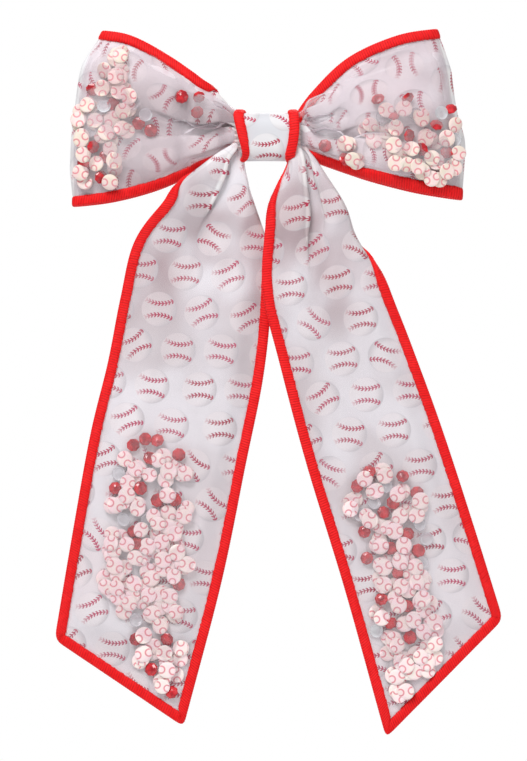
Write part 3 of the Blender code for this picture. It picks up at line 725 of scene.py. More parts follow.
def red_thread():
    """Dense oversewn thread, each stitch twisted from fine strands."""
    look = bpy.context.scene.bow_thread
    made = Skin("red_thread", roughness=0.55)
    made.set("Specular IOR Level", 0.2)
    made.set("Sheen Weight", 0.1)
    made.set("Sheen Roughness", 0.35)
    made.set("Sheen Tint", (1.0, 0.2, 0.15))
    run, side = made.uv()
    stitch = look.stitch / MM
    groove = (run / stitch).fract() - 0.5
    groove = groove.absolute() * 2
    patchy = made.noise(260, 3.0)
    # Painted shade: the thread darkens to half its colour in the grooves between stitches, more in some
    # places than others.
    painted_groove_shade = tuple(part * 0.5 for part in look.colour)
    pale = (0.88, 0.012, 0.014)
    base = made.mix(patchy.between(0.3, 0.75), look.colour, pale)
    fade_mask = made.noise(700, 2.0).between(0.3, 0.7) * 0.5 + 0.35
    made.colour(made.mix(groove.between(0.45, 1.0) * fade_mask, base, painted_groove_shade))
    strands = ((run * 2.4 + side * 2.2) * 6.2832).sine() * 0.5 + made.noise(3200, 2.0)
    made.bump(strands, 0.00005, 0.7)
    made.rough(patchy * 0.25 + 0.4)
    return made


def pink_clay():
    return clay_slice("pink_clay", (0.9, 0.79, 0.75), (0.93, 0.74, 0.76))


def cream_clay():
    return clay_slice("cream_clay", (0.80, 0.70, 0.60), (0.84, 0.66, 0.64))


def clay_slice(name, first, second):
    """Polymer clay with two curved red seams on each face."""
    made = Skin(name, roughness=0.55)
    made.set("Subsurface Weight", 0.15)
    made.set("Subsurface Scale", 0.001)
    made.set("Subsurface Radius", (1.0, 0.5, 0.4))
    x, y = made.uv("slice")
    radius = (x * x + y * y).sqrt()
    side = x.absolute() - 0.68
    arc = ((side * side + y * y).sqrt() - 0.4).absolute()
    seam = (arc * -1 + 0.12).between(0.0, 0.06) * (radius * -1 + 0.97).between(0.0, 0.05)
    seam = seam * (x.absolute() * -1 + 0.9).between(0.0, 0.08)
    tint = made.noise(210, 2.0)
    body = made.mix(tint.between(0.35, 0.65), first, second)
    red = made.mix(made.noise(500, 2.0), (0.66, 0.13, 0.17), (0.76, 0.28, 0.33))
    made.colour(made.mix(seam * 0.85, body, red))
    made.bump(made.noise(1500, 3.0) - seam * 0.5, 0.00008, 0.6)
    return made


def red_jelly():
    """See-through red acrylic."""
    made = Skin("red_jelly", roughness=0.12)
    made.set("IOR", 1.49)
    made.set("Coat Weight", 0.4)
    made.set("Coat Roughness", 0.08)
    depth = made.noise(380, 2.0)
    made.colour(made.mix(depth.between(0.35, 0.65), (0.36, 0.003, 0.012), (0.72, 0.02, 0.03)))
    return see_through(made, 0.86)


def clear_acrylic():
    made = Skin("clear_acrylic", roughness=0.08)
    made.set("IOR", 1.49)
    made.colour(made.mix(made.noise(300, 2.0), (0.9, 0.9, 0.92), (0.8, 0.82, 0.86)))
    return see_through(made, 0.42)


def see_through(made, body):
    """Mixes the shader with a clear one, so that body of it stays."""
    glance = made.node("LayerWeight")
    glance.inputs["Blend"].default_value = 0.25
    return mixed_clear(made, Sum(made.tree, glance.outputs["Fresnel"]) * 0.7 + body, (1.0, 1.0, 1.0))


def mixed_clear(made, share, tint):
    """Lets light through the skin, tinted, except for the share of it that the shader keeps."""
    clear = made.node("BsdfTransparent")
    clear.inputs["Color"].default_value = (*tint, 1)
    both = made.node("MixShader")
    made.link(share.minimum(1.0), both.inputs[0])
    made.link(clear.outputs[0], both.inputs[1])
    made.link(made.shader.outputs[0], both.inputs[2])
    made.link(both.outputs[0], made.tree.nodes["Material Output"].inputs["Surface"])
    return made


def nickel_steel():
    """Nickel-plated spring steel, brushed along the clip."""
    made = Skin("nickel_steel", roughness=0.28, metallic=1.0)
    place = made.node("Mapping")
    made.link(made.node("TexCoord").outputs["Object"], place.inputs["Vector"])
    place.inputs["Scale"].default_value = (40, 2400, 2400)
    brushed = made.noise(1.0, 3.0, place.outputs[0])
    marks = made.noise(300, 4.0)
    made.colour(made.mix(marks.between(0.4, 0.8), (0.66, 0.65, 0.64), (0.55, 0.54, 0.53)))
    made.rough(brushed * 0.14 + marks * 0.12 + 0.14)
    made.bump(brushed, 0.00001, 0.4)
    return made


def grosgrain():
    """Red ribbed ribbon."""
    made = Skin("grosgrain", roughness=0.6)
    made.set("Sheen Weight", 0.3)
    made.set("Sheen Tint", (1.0, 0.4, 0.35))
    place = made.node("SeparateXYZ")
    made.link(made.node("TexCoord").outputs["Object"], place.inputs[0])
    along = Sum(made.tree, place.outputs[0]) * 1000
    rib = (along * 6.2832 / 0.9).sine() * 0.5 + 0.5
    base = made.mix(made.noise(500, 2.0), (0.6, 0.006, 0.01), (0.75, 0.014, 0.018))
    # Painted shade: the colour darkens in the hollows between the ribs.
    made.colour(made.mix(rib * 0.6, (0.36, 0.004, 0.008), base))
    made.bump(rib + made.noise(2500, 2.0) * 0.3, 0.0002, 0.9)
    return made


def pale_floor():
    made = Skin("pale_floor", roughness=0.85)
    made.colour(made.mix(made.noise(3, 3.0), (0.9, 0.9, 0.9), (0.93, 0.93, 0.93)))
    return made


SKIN_MAKERS = {
    maker.__name__: maker
    for maker in (
        loop_print, tail_print, knot_print, cloth_reverse, clear_film, milky_film, red_thread,
        pink_clay, cream_clay, red_jelly, clear_acrylic, nickel_steel, grosgrain, pale_floor,
    )
}


# ---- Sheets --------------------------------------------------------------------------------------------
def folded(folds, lobes, across, outward):
    """How far the cloth stands forward and laps sideways, in millimetres, along the strip.

    A fold is (place, step, lap, softness, reach): the step forward from its lower side to its upper
    one, the lap of one side over the other, and how far from the knot it fades out. A lobe is
    (start, end, bulge, reach).
    """
    forward, lap = 0 * across * outward, 0 * across * outward
    for place, step, overlap, softness, reach in folds:
        level = 1 - smooth(reach * 0.62, reach, outward)
        past = (across - place) / softness
        forward = forward + step * level * smooth(-1.2, 1.2, past)
        lap = lap - overlap * 1.65 * level * past * np.exp(-past * past / 2)
    for start, end, bulge, reach in lobes:
        level = smooth(0, 0.12, outward) * (1 - smooth(reach * 0.5, reach, outward))
        share = np.clip((across - start) / (end - start), 0, 1)
        forward = forward + bulge * level * np.sin(math.pi * share)
    return forward, lap


def turn_under(past):
    """Where cloth lies that runs past millimetres over a turned-under edge: (outward, back)."""
    angle = np.clip(past / ROLL, 0, math.pi)
    inside = np.maximum(past - math.pi * ROLL, 0)
    return ROLL * np.sin(angle) - inside, ROLL * (1 - np.cos(angle))


def loop_sheet(side, rows=90, columns=110):
    """The front and back layer of one loop as a grid from the knot round the fold and back."""
    shape = LOOPS[side]
    shares = np.linspace(0, 1, rows)
    plan = through(LOOP_PLAN, shares)
    outward, depth = np.clip(plan[:, 0], 0, 1)[:, None], plan[:, 1][:, None]
    front = (shares < 0.5)[:, None] * 1.0
    across = np.linspace(0, 1, columns)[None, :]
    tuck = graph(shape["top_tuck"], outward)
    turned = tuck / LOOP_STRIP
    past = np.maximum(across - (1 - turned), 0) * LOOP_STRIP
    open_share = np.minimum(across / (1 - turned), 1)
    squeeze = graph(shape["squeeze"], open_share)
    upward = squeeze + (open_share - squeeze) * smooth(0, 0.3, outward)
    top, bottom = (through(shape[edge], outward[:, 0])[:, None, :] for edge in ("top", "bottom"))
    flat = bottom + (top - bottom) * upward[..., None]
    x = flat[..., 0] + graph(shape["outline"], across) * outward**3
    z = flat[..., 1]
    flatness = LOOP_EDGE_FLATNESS * (1 - np.sin(math.pi * across)) * smooth(0, 0.5, outward)
    y = LOOP_MIDDLE_Y + (depth - LOOP_MIDDLE_Y) * (1 - flatness)
    near = np.sin(np.pi * np.clip(outward * 1.15, 0, 1)) ** 0.6
    forward, lap = folded(shape["folds"], shape["lobes"], across, outward)
    forward = forward - forward.mean(axis=1, keepdims=True)
    side_share = front * 1.4 - 0.4
    y = y - forward * side_share * (smooth(0.0, 0.12, outward) * 0.75 + 0.25)
    up = unit(top - bottom)
    rolled, back = turn_under(past)
    x = x + (lap + rolled) * up[..., 0]
    z = z + (lap + rolled) * up[..., 1]
    y = y + back * front
    crumple = ripple(x, z, 11 + len(side)) * near
    y = y + crumple * 0.55
    points = np.stack([x, y, z], axis=-1) * MM + MIDDLE
    length = np.concatenate([[0], np.cumsum(np.linalg.norm(np.diff(plan * (70, 1), axis=0), axis=1))])
    along = (length if side == "right" else -length)[:, None] + 0 * across
    width = LOOP_STRIP * (0.72 + 0.28 * smooth(0, 0.6, outward))
    uv = np.stack([(across - 0.5) * width, along], axis=-1) * MM
    return points, uv


def loop_strip():
    """Both loops as one strip: back seam, left loop, knot, right loop, back seam."""
    left, left_uv = loop_sheet("left")
    right, right_uv = loop_sheet("right")
    points = np.concatenate([left[::-1], right])
    uv = np.concatenate([left_uv[::-1], right_uv])
    ends = []
    for edge, shift in ((points[0], 0.5), (points[-1], -0.5)):
        moved = edge.copy()
        moved[:, 0] = MIDDLE[0] - shift * MM
        ends.append(moved[None])
    points = np.concatenate([ends[0], points, ends[1]])
    half_knot = HALF_KNOT * MM
    last = uv[-1:] + (0, half_knot)
    uv[: len(left)] -= (0, half_knot)
    uv[len(left):] += (0, half_knot)
    uv = np.concatenate([uv[:1] - (0, half_knot), uv, last + (0, half_knot)])
    uv += LOOP_PRINT_SHIFT
    return points, uv


def calmed(values, rounds=3, axes=(0, 1)):
    """Values evened out over their neighbours on the grid."""
    for _ in range(rounds):
        for axis in axes:
            ends = [(1, 1) if k == axis else (0, 0) for k in range(values.ndim)]
            padded = np.pad(values, ends, mode="reflect", reflect_type="odd")
            size = values.shape[axis]
            parts = [np.take(padded, range(k, k + size), axis) for k in range(3)]
            values = (parts[0] + 2 * parts[1] + parts[2]) / 4
    return values


def outwards(points):
    """Normals of the loop strip, to the side the film is on."""
    normals = unit(calmed(sheet_normals(points)))
    middle = normals[len(points) // 2 - 3, points.shape[1] // 2]
    return normals * -np.sign(middle[1])


def panel_depth(side, x, z):
    """Depth in millimetres of a tail's flat lower panel."""
    shape = TAILS[side]
    outer, inner = (np.array(shape[edge][-2]) for edge in ("outer", "inner"))
    middle = (outer + inner) / 2
    lean = math.radians(shape["lean"])
    inward = math.copysign(1, inner[0] - outer[0])
    across = ((x - middle[0]) * math.cos(lean) - (z - middle[2]) * math.sin(lean)) * inward
    return middle[1] - across * math.tan(math.radians(shape["tilt"]))


def tail_sheet(side, rows=170, columns=90):
    """One tail as a grid from the knot down, from its outer edge to its inner one."""
    shape = TAILS[side]
    shares = np.concatenate([np.linspace(0, 0.4, rows // 2, endpoint=False),
                             np.linspace(0.4, 1, rows - rows // 2)])
    outer, inner = (through(shape[edge], shares) for edge in ("outer", "inner"))
    tucks = [graph(shape[edge], shares) for edge in ("outer_tuck", "inner_tuck")]
    step = unit(inner - outer)
    outer = outer + step * TUCK_SHIFT * smooth(1, 9, tucks[0])[:, None]
    inner = inner - step * TUCK_SHIFT * smooth(1, 9, tucks[1])[:, None]
    step = inner - outer
    width = np.linalg.norm(step, axis=1)
    even = np.linspace(0, 1, columns)
    across = even * 0.6 + (1 - np.cos(math.pi * even)) / 2 * 0.4
    place = -tucks[0][:, None] + across[None, :] * (width + tucks[0] + tucks[1])[:, None]

    past = np.maximum(-place, 0), np.maximum(place - width[:, None], 0)
    (left, left_back), (right, right_back) = (turn_under(way) for way in past)
    back = left_back + right_back
    place = np.clip(place, 0, width[:, None]) - left + right
    share = place / width[:, None]
    points = outer[:, None, :] + step[:, None, :] * share[..., None]
    flat_share = TAIL_FLAT_FROM / (len(shape["outer"]) - 1)
    weight = smooth(flat_share - 0.14, flat_share, shares)[:, None]
    points[..., 1] += (panel_depth(side, points[..., 0], points[..., 2]) - points[..., 1]) * weight
    down = shares[:, None]
    forward, lap = folded(shape["folds"], shape["lobes"], across[None, :], down)
    forward = forward - forward.mean(axis=1, keepdims=True)
    points += (unit(step)[:, None, :] * (1, 0, 1)) * (lap * smooth(0, 0.08, down))[..., None]
    points[..., 1] += back - forward * smooth(0, 0.06, down)
    soft = ripple(points[..., 0], points[..., 2] * 0.7, 31 + len(side))
    calm = 1 - 0.75 * smooth(0.5, 0.62, down)
    points[..., 1] += soft * 0.7 * calm * smooth(0.02, 0.2, down)

    centre = (outer + inner) / 2
    full = np.maximum(width + tucks[0] + tucks[1], 0.72 * TAIL_STRIP + 0 * width)
    way = unit(step)
    turn = math.radians(shape["turn"])
    flat = centre[:, None, :] + way[:, None, :] * ((across[None, :] - 0.5) * full[:, None])[..., None]
    u = flat[..., 0] * math.cos(turn) - flat[..., 2] * math.sin(turn)
    v = flat[..., 0] * math.sin(turn) + flat[..., 2] * math.cos(turn)
    uv = np.stack([u, v], axis=-1) * MM + np.array(shape["print_shift"])
    return points * MM + MIDDLE, uv, shares, across


def frontwards(points):
    normals = unit(calmed(sheet_normals(points)))
    return normals * -np.sign(normals[-1, points.shape[1] // 2, 1])


# ---- Oversewn edges ----------------------------------------------------------------------------------
def seam_section(count=14):
    """The thread's section round the edge, as (way in, towards the front), counted once round."""
    look = bpy.context.scene.bow_thread
    turn = np.linspace(0, 2 * math.pi, count, endpoint=False)
    cosine, sine = np.cos(turn), np.sin(turn)
    inward = np.sign(cosine) * np.abs(cosine) ** 0.6 * look.width / 2
    forward = np.sign(sine) * np.abs(sine) ** 0.7 * look.height / 2
    return inward + look.width / 2 - look.outside, forward + SEAM_FORWARD


def oversewn(name, edge, inward, forward, seed, shown=None, wide=None, closed=False, rings=4):
    """Thread stitched over an edge: edge points, the way in, and the way forward, for each point.

    shown is 1 where the seam lies open and less where a fold squeezes it flat. wide is how many
    times its usual width the seam reaches in.
    """
    look = bpy.context.scene.bow_thread
    if shown is None:
        shown = np.ones(len(edge))
    if wide is None:
        wide = np.ones(len(edge))
    if closed:
        edge, inward, forward = (np.vstack([part, part[:1]]) for part in (edge, inward, forward))
        shown, wide = np.append(shown, shown[0]), np.append(wide, wide[0])
    run = np.concatenate([[0], np.cumsum(np.linalg.norm(np.diff(edge, axis=0), axis=1))])
    stitches = max(4, int(round(run[-1] / look.stitch)))
    count = stitches * rings + (0 if closed else 1)
    at = np.arange(count) / rings / stitches * run[-1]

    def along(values):
        return np.stack([np.interp(at, run, values[:, k]) for k in range(3)], axis=1)

    place, way_in, way_on = along(edge), along(inward), along(forward)
    if not closed:
        for _ in range(SEAM_SMOOTHING):
            for values in (place, way_in, way_on):
                values[1:-1] = (values[:-2] + 2 * values[1:-1] + values[2:]) / 4
    size = np.interp(at, run, 0.3 + 0.7 * shown)[:, None]
    section_in, section_on = seam_section()
    draw = np.random.default_rng(seed)
    stitch = (np.arange(count) // rings) % stitches
    phase = (np.arange(count) % rings) / rings
    ridge = np.sin(math.pi * phase) ** 0.7
    reach = draw.normal(0, 0.07 * MM, stitches)[stitch]
    thick = 1 + draw.normal(0, 0.025, stitches)[stitch] + (ridge - 0.6) * 0.17
    middle = look.width / 2 - look.outside
    inner_side = smooth(middle, middle + look.width / 2, section_in)
    w_in = middle + (section_in[None, :] - middle) * (0.98 + 0.04 * ridge[:, None])
    w_in = w_in + inner_side[None, :] * reach[:, None]
    w_on = SEAM_FORWARD + (section_on[None, :] - SEAM_FORWARD) * thick[:, None]
    w_in = (w_in + look.outside) * np.interp(at, run, wide)[:, None] - look.outside
    w_in, w_on = w_in * size, w_on * size
    slant = (section_in - middle) * 0.18
    points = (place[:, None, :] + way_in[:, None, :] * w_in[..., None]
              + way_on[:, None, :] * w_on[..., None]
              + unit(np.gradient(place, axis=0))[:, None, :] * slant[None, :, None])
    sides = len(section_in)
    uv = np.stack([np.broadcast_to(at[:, None], (count, sides)),
                   np.broadcast_to(section_in[None, :], (count, sides))], axis=-1)
    faces = []
    for i in range(count if closed else count - 1):
        j = (i + 1) % count
        for k in range(sides):
            n = (k + 1) % sides
            faces.append((i * sides + k, i * sides + n, j * sides + n, j * sides + k))
    if not closed:
        faces.append(tuple(range(sides))[::-1])
        faces.append(tuple((count - 1) * sides + k for k in range(sides)))
    return new_object(name, points.reshape(-1, 3), faces, skin("red_thread"), uv.reshape(-1, 2))


def border_ways(points, normals, rows, columns, sewn_end=False):
    """Edge points with the way in and forward, for the border given by grid rows and columns."""
    across, down = unit(np.gradient(points, axis=1)), unit(np.gradient(points, axis=0))
    sine = np.linalg.norm(np.cross(across, down), axis=2)[rows, columns]
    last_row, last_column = points.shape[0] - 1, points.shape[1] - 1
    from_side = (columns == 0) * 1.0 - (columns == last_column)
    from_end = (rows == last_row) * -1.0 * sewn_end
    inward = across[rows, columns] * from_side[:, None] + down[rows, columns] * from_end[:, None]
    return points[rows, columns], inward * np.minimum(1 / sine, 1.4)[:, None], normals[rows, columns]


# ---- Operators ---------------------------------------------------------------------------------------
class BOW_OT_loops(bpy.types.Operator):
    """Builds the loop strip: printed cloth, film and the thread along both edges"""

    bl_idname = "bow.loops"
    bl_label = "Loops"

    def execute(self, context):
        look = context.scene.bow_cloth
        points, uv = loop_strip()
        normals = outwards(points)
        cloth = sheet_object(
            "loop_cloth", points, normals, uv, look.thick, [skin("loop_print"), skin("cloth_reverse")]
        )
        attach(cloth, "bow")
        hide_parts("loop_fabric")
        lift = loop_film_lift(points)
        taut = calmed(points, 24)
        away = unit(calmed(normals, 60, axes=(1,)))
        film = sheet_object(
            "loop_clear_film", taut + away * lift[..., None], away, uv, look.film,
            skin("milky_film"),
        )
        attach(film, "bow")
        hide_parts("loop_film")
        rows = np.arange(len(points))
        for name, column in (("top", points.shape[1] - 1), ("bottom", 0)):
            ways = border_ways(points, normals, rows, np.full(len(points), column))
            shown = loop_seam_shown(len(points)) if column else None
            wide = None if column else 1 + WIDE_SEAM * smooth(10, 50, (points[:, 0, 0] - MIDDLE[0]) / MM)
            seam = oversewn(f"loop_{name}_seam", *ways, seed=column + 3, shown=shown, wide=wide)
            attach(seam, "bow")
            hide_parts(f"loop_{name}_edging")
        return {"FINISHED"}


def loop_rows(rows):
    """For half the strip's rows, their share of the way round a loop and how far out they lie."""
    shares = np.linspace(0, 1, (rows - 2) // 2)
    return shares, np.clip(through(LOOP_PLAN, shares)[:, 0], 0, 1)


def loop_seam_shown(rows):
    """How open the seam along the top edge lies over the loop strip."""
    outward = loop_rows(rows)[1]
    left, right = (1 - smooth(0, 8, graph(LOOPS[side]["top_tuck"], outward)) for side in SIDES)
    return np.concatenate([left[-1:], left[::-1], right, right[-1:]])


def loop_film_lift(points):
    """How far the film stands off the cloth over the loop strip."""
    look = bpy.context.scene.bow_cloth
    rows, columns = points.shape[:2]
    shares, outward = loop_rows(rows)
    front = (shares < 0.5) * 1.0
    bulge = smooth(0.34, 0.5, outward) * (1 - smooth(0.9, 0.985, outward)) * front
    bulge = np.maximum(bulge, smooth(0.1, 0.2, outward) * (1 - smooth(0.3, 0.4, outward)) * front)
    along = np.concatenate([[0], bulge[::-1], bulge, [0]])
    across = np.linspace(0, 1, columns)
    side = smooth(0.06, 0.2, across) * (1 - smooth(0.8, 0.94, across))
    return look.film_gap + (look.pocket * LOOP_POCKET - look.film_gap) * np.outer(along, side)


def tail_film_lift(shares, across):
    """How far the film stands off the cloth over a tail."""
    look = bpy.context.scene.bow_cloth
    down = smooth(0.42, 0.58, shares) * (1 - smooth(0.95, 0.99, shares))
    side = smooth(0.04, 0.24, across) * (1 - smooth(0.76, 0.96, across))
    return look.film_gap + (look.pocket - look.film_gap) * np.outer(down, side)


class BOW_OT_tails(bpy.types.Operator):
    """Builds both tails: printed cloth, film and the thread round their edges"""

    bl_idname = "bow.tails"
    bl_label = "Tails"

    def execute(self, context):
        look = context.scene.bow_cloth
        for side in SIDES:
            points, uv, shares, across = tail_sheet(side)
            normals = frontwards(points)
            cloth = sheet_object(
                f"{side}_tail_cloth", points, normals, uv, look.thick,
                [skin("tail_print"), skin("cloth_reverse")],
            )
            lift = tail_film_lift(shares, across)
            away = unit(calmed(normals, 16))
            film = sheet_object(
                f"{side}_tail_clear_film", calmed(points, 16) + away * lift[..., None], away, uv,
                look.film,
                skin("clear_film"),
            )
            rows, columns = points.shape[:2]
            border = [(i, 0) for i in range(rows)]
            border += [(rows - 1, k) for k in range(1, columns - 1)]
            border += [(i, columns - 1) for i in reversed(range(rows))]
            border_rows, border_columns = np.array(border).T
            ways = border_ways(points, normals, border_rows, border_columns, sewn_end=True)
            tucks = [graph(TAILS[side][edge], shares) for edge in ("outer_tuck", "inner_tuck")]
            tuck = np.where(border_columns < columns // 2, *(part[border_rows] for part in tucks))
            seam = oversewn(f"{side}_tail_seam", *ways, seed=40 + len(side),
                            shown=1 - smooth(0, 8, tuck))
            for piece, node, slot in (
                (cloth, "fabric", "printed_fabric"), (film, "film", "clear_film"),
                (seam, "edging", "red_thread"),
            ):
                hang_from_knot(piece)
                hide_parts(f"{side}_tail_{node}")
        return {"FINISHED"}


def hang_from_knot(piece):
    """Bakes the piece's placement into its mesh."""
    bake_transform(piece)


class BOW_OT_knot(bpy.types.Operator):
    """Builds the knot: band, its thread edges, the gathering thread and the folded middle"""

    bl_idname = "bow.knot"
    bl_label = "Knot"

    def execute(self, context):
        look = context.scene.bow_cloth
        points, uv = knot_band()
        normals = sheet_normals(np.concatenate([points[-1:], points, points[:1]]))[1:-1]
        normals = normals * np.sign(np.sum(normals[0, 0] * (points[0, 0] - MIDDLE)))
        band = sheet_object(
            "knot_band", points, normals, uv, look.thick,
            [skin("knot_print"), skin("cloth_reverse")],
            wraps=True,
        )
        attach(band, "bow")
        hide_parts("knot_fabric")
        rows = np.arange(len(points))
        across = unit(np.gradient(points, axis=1))
        for side, column, sign in (("left", 0, 1), ("right", points.shape[1] - 1, -1)):
            edge = points[:, column]
            low = smooth(0.2, -1.0, (edge[:, 2] - MIDDLE[2]) / (10 * MM))
            seam = oversewn(
                f"knot_{side}_seam", edge, across[:, column] * sign, normals[rows, column],
                seed=70 + column, shown=1 - low * (0.5 if side == "left" else 0.0), closed=True,
            )
            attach(seam, "bow")
            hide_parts(f"knot_{side}_edging")
        frame["nodes"]["gather_thread"].material_slots[0].material = skin("red_thread")
        frame["nodes"]["tail_gather"].material_slots[0].material = skin("cloth_reverse")
        return {"FINISHED"}


def knot_band(rows=96, columns=26):
    """The band as a ring of rows: a superellipse whose sides lean as the pull of the strips does."""
    low, high = (np.array(corner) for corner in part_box("knot_fabric"))
    half_depth, half_height = (high - low)[1:] / 2 - 0.3 * MM
    centre = (low + high) / 2
    turn = np.linspace(0, 2 * math.pi, rows, endpoint=False)[:, None]
    power = 2 / 2.9
    y = np.sign(np.cos(turn)) * np.abs(np.cos(turn)) ** power * half_depth
    z = np.sign(np.sin(turn)) * np.abs(np.sin(turn)) ** power * half_height
    front = smooth(0, 1, -y / half_depth)
    height = z / half_height
    left = -12.2 + front * (0.9 - 2.3 * height)
    right = 11.6 + front * (0.3 - 1.2 * height**2 + 1.1 * height)
    across = np.linspace(0, 1, columns)[None, :]
    x = left + (right - left) * across
    waist = 1 - 0.035 * np.sin(math.pi * across) * (1 - height**2)
    crease = ripple(x, z / MM, 91, 2) * 0.28 * np.sin(math.pi * across) * MM
    y = y * waist - crease * front
    z = z * (1 - 0.02 * np.sin(math.pi * across)) + 0 * across
    points = np.stack([x * MM + centre[0], y + centre[1], z + centre[2]], axis=-1)
    run = np.concatenate([[0], np.cumsum(np.linalg.norm(np.diff(points[:, 0], axis=0), axis=1))])
    uv = np.stack([x * MM, -run[:, None] + 0 * across], axis=-1) + np.array((0.0105, 0.0121))
    return points, uv


class BOW_OT_filling(bpy.types.Operator):
    """Scatters the slices, beads and sequins in the four pockets"""

    bl_idname = "bow.filling"
    bl_label = "Filling"

    def execute(self, context):
        look = context.scene.bow_filling
        for index, pocket in enumerate(HEAPS):
            side, strip = pocket.split("_")
            surface = TailSurface(side) if strip == "tail" else LoopSurface(side)
            pile = Pile(surface, np.random.default_rng(look.seed + index))
            body = f"{pocket}_filling"
            red = pile.place(RED_BEADS[pocket], look.bead_width, bead, 2.2, 0.9, 0.52)
            clear = pile.place(CLEAR_BEADS[pocket], look.bead_width, sequin, 1.2, 1.1, 0.34)
            tries = look.tail_slices if strip == "tail" else look.loop_slices
            slices = pile.heap(HEAPS[pocket], tries, look.slice_width, clay_disc,
                               look.slice_thick / MM)
            clay = "pink_clay" if strip == "tail" else "cream_clay"
            cad = frame["record"]["behaviour"]["bodies"][body]
            for name, parts, finish, slot, kind, flat_faces in (
                ("slices", slices, clay, "clay_slice", "_slice_", False),
                ("red_beads", red, "red_jelly", "red_jelly", "_red_bead_", True),
                ("clear_beads", clear, "clear_acrylic", "clear_acrylic", "_clear_", True),
            ):
                piece = joined(f"{pocket}_{name}", parts, skin(finish), "slice", not flat_faces)
                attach(piece, body)
                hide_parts(*[node for node in cad if kind in node])
        return {"FINISHED"}


class TailSurface:
    """Places on a tail's flat panel from (x, z)."""

    def __init__(self, side):
        self.side = side

    def at(self, x, z):
        def point(a, b):
            return np.array((a, float(panel_depth(self.side, a, b)), b))

        here = point(x, z)
        normal = unit(np.cross(point(x + 1, z) - here, point(x, z + 1) - here))
        return here, normal * -np.sign(normal[1])

    def spread(self, heap, draw):
        x, z, radius = heap
        turn, reach = draw.uniform(0, 2 * math.pi), math.sqrt(draw.uniform(0, 1)) * radius
        return x + reach * math.cos(turn), z + reach * math.sin(turn)

    height = 3.85
    sway = 0.14


class LoopSurface:
    """Places on a loop's front from the shares outward and upward.

    A place stands clear of the cloth that the piece passes as it slides toward the knot.
    """

    def __init__(self, side):
        points, _ = loop_sheet(side)
        self.front = (points[: len(points) // 2] - MIDDLE) / MM
        outward = np.clip(through(LOOP_PLAN, np.linspace(0, 1, len(points)))[:, 0], 0, 1)
        self.outward = outward[: len(self.front)]
        normals = sheet_normals(self.front)
        self.normals = normals * -np.sign(normals[-12, points.shape[1] // 2, 1])

    def at(self, outward, upward):
        outward = min(outward, 0.955)
        row = int(np.argmin(np.abs(self.outward - outward)))
        shape = self.front[row]
        column = int(round(upward * (len(shape) - 1)))
        column = min(max(column, 3), len(shape) - 4)
        place = shape[column].copy()
        passed = (self.outward < outward + 0.02) & (self.outward > outward - 0.07)
        place[1] = min(place[1], self.front[passed, column, 1].min() * 0.7 + place[1] * 0.3)
        return place, unit(self.normals[row, column] + (0, -1.0, 0))

    def spread(self, heap, draw):
        outward, upward, radius = heap
        turn, reach = draw.uniform(0, 2 * math.pi), math.sqrt(draw.uniform(0, 1)) * radius
        return outward + reach * math.cos(turn) / 75, upward + reach * math.sin(turn) / 62

    height = 4.5
    sway = 0.32


class Pile:
    """Lays pieces on a surface, each on top of those it overlaps."""

    def __init__(self, surface, draw):
        self.surface = surface
        self.draw = draw
        self.laid = []

    def lay(self, spot, width, shape, thick, floor, clear, limit):
        """One piece at the spot, or None where it would hide another or stand over the limit.

        clear is the share of the piece that later ones leave in sight.
        """
        place, normal = self.surface.at(*spot)
        width = width / MM
        for where, size, top, kept in self.laid:
            gap = np.linalg.norm(where - place) * 2 / (size + width)
            if clear < kept and gap < kept:
                return None
            if gap < (0.7 if min(kept, clear) > 0.5 else 0.88):
                floor = max(floor, top)
        sway = self.surface.sway if floor < 1.6 else self.surface.sway / 2
        tilt = np.clip(self.draw.normal(0, sway, 2), -0.42, 0.42)
        rise = np.abs(tilt).max() * width * 0.3
        if floor + thick + rise > limit:
            return None
        self.laid.append((place, width, floor + thick * 0.8 + rise * 0.5, clear))
        lift = floor + thick / 2 + rise + 0.1
        return shape(self, place + normal * lift, normal, width * MM, thick, tilt)

    def place(self, spots, width, shape, thick, floor, clear):
        """Pieces at set spots."""
        limit = self.surface.height
        parts = [self.lay(spot, width, shape, thick, floor, clear, limit) for spot in spots]
        return [part for part in parts if part]

    def heap(self, heaps, tries, width, shape, thick):
        """Pieces drawn at random inside the heaps, the larger heaps more often."""
        sizes = np.array([radius**2 for _, _, radius in heaps], float)
        parts = []
        for count in range(tries):
            heap = heaps[self.draw.choice(len(heaps), p=sizes / sizes.sum())]
            spot = self.surface.spread(heap, self.draw)
            limit = 1.2 + (self.surface.height - 1.2) * min(count / tries * 1.3, 1)
            part = self.lay(spot, width, shape, thick, 0.3, 0.22, limit)
            if part:
                parts.append(part)
        return parts

    def stand(self, local, place, normal, tilt):
        """Local points, in millimetres, turned to lie on the surface with a tilt and a spin."""
        spin = self.draw.uniform(0, 2 * math.pi)
        side = unit(np.cross(normal, (0.1, 0.05, 1.0)))
        up = np.cross(side, normal)
        normal = unit(normal + side * tilt[0] + up * tilt[1])
        side = unit(np.cross(normal, up))
        up = np.cross(side, normal)
        first = side * math.cos(spin) + up * math.sin(spin)
        second = np.cross(normal, first)
        turned = local @ np.array([first, second, normal])
        return (turned + place) * MM + MIDDLE


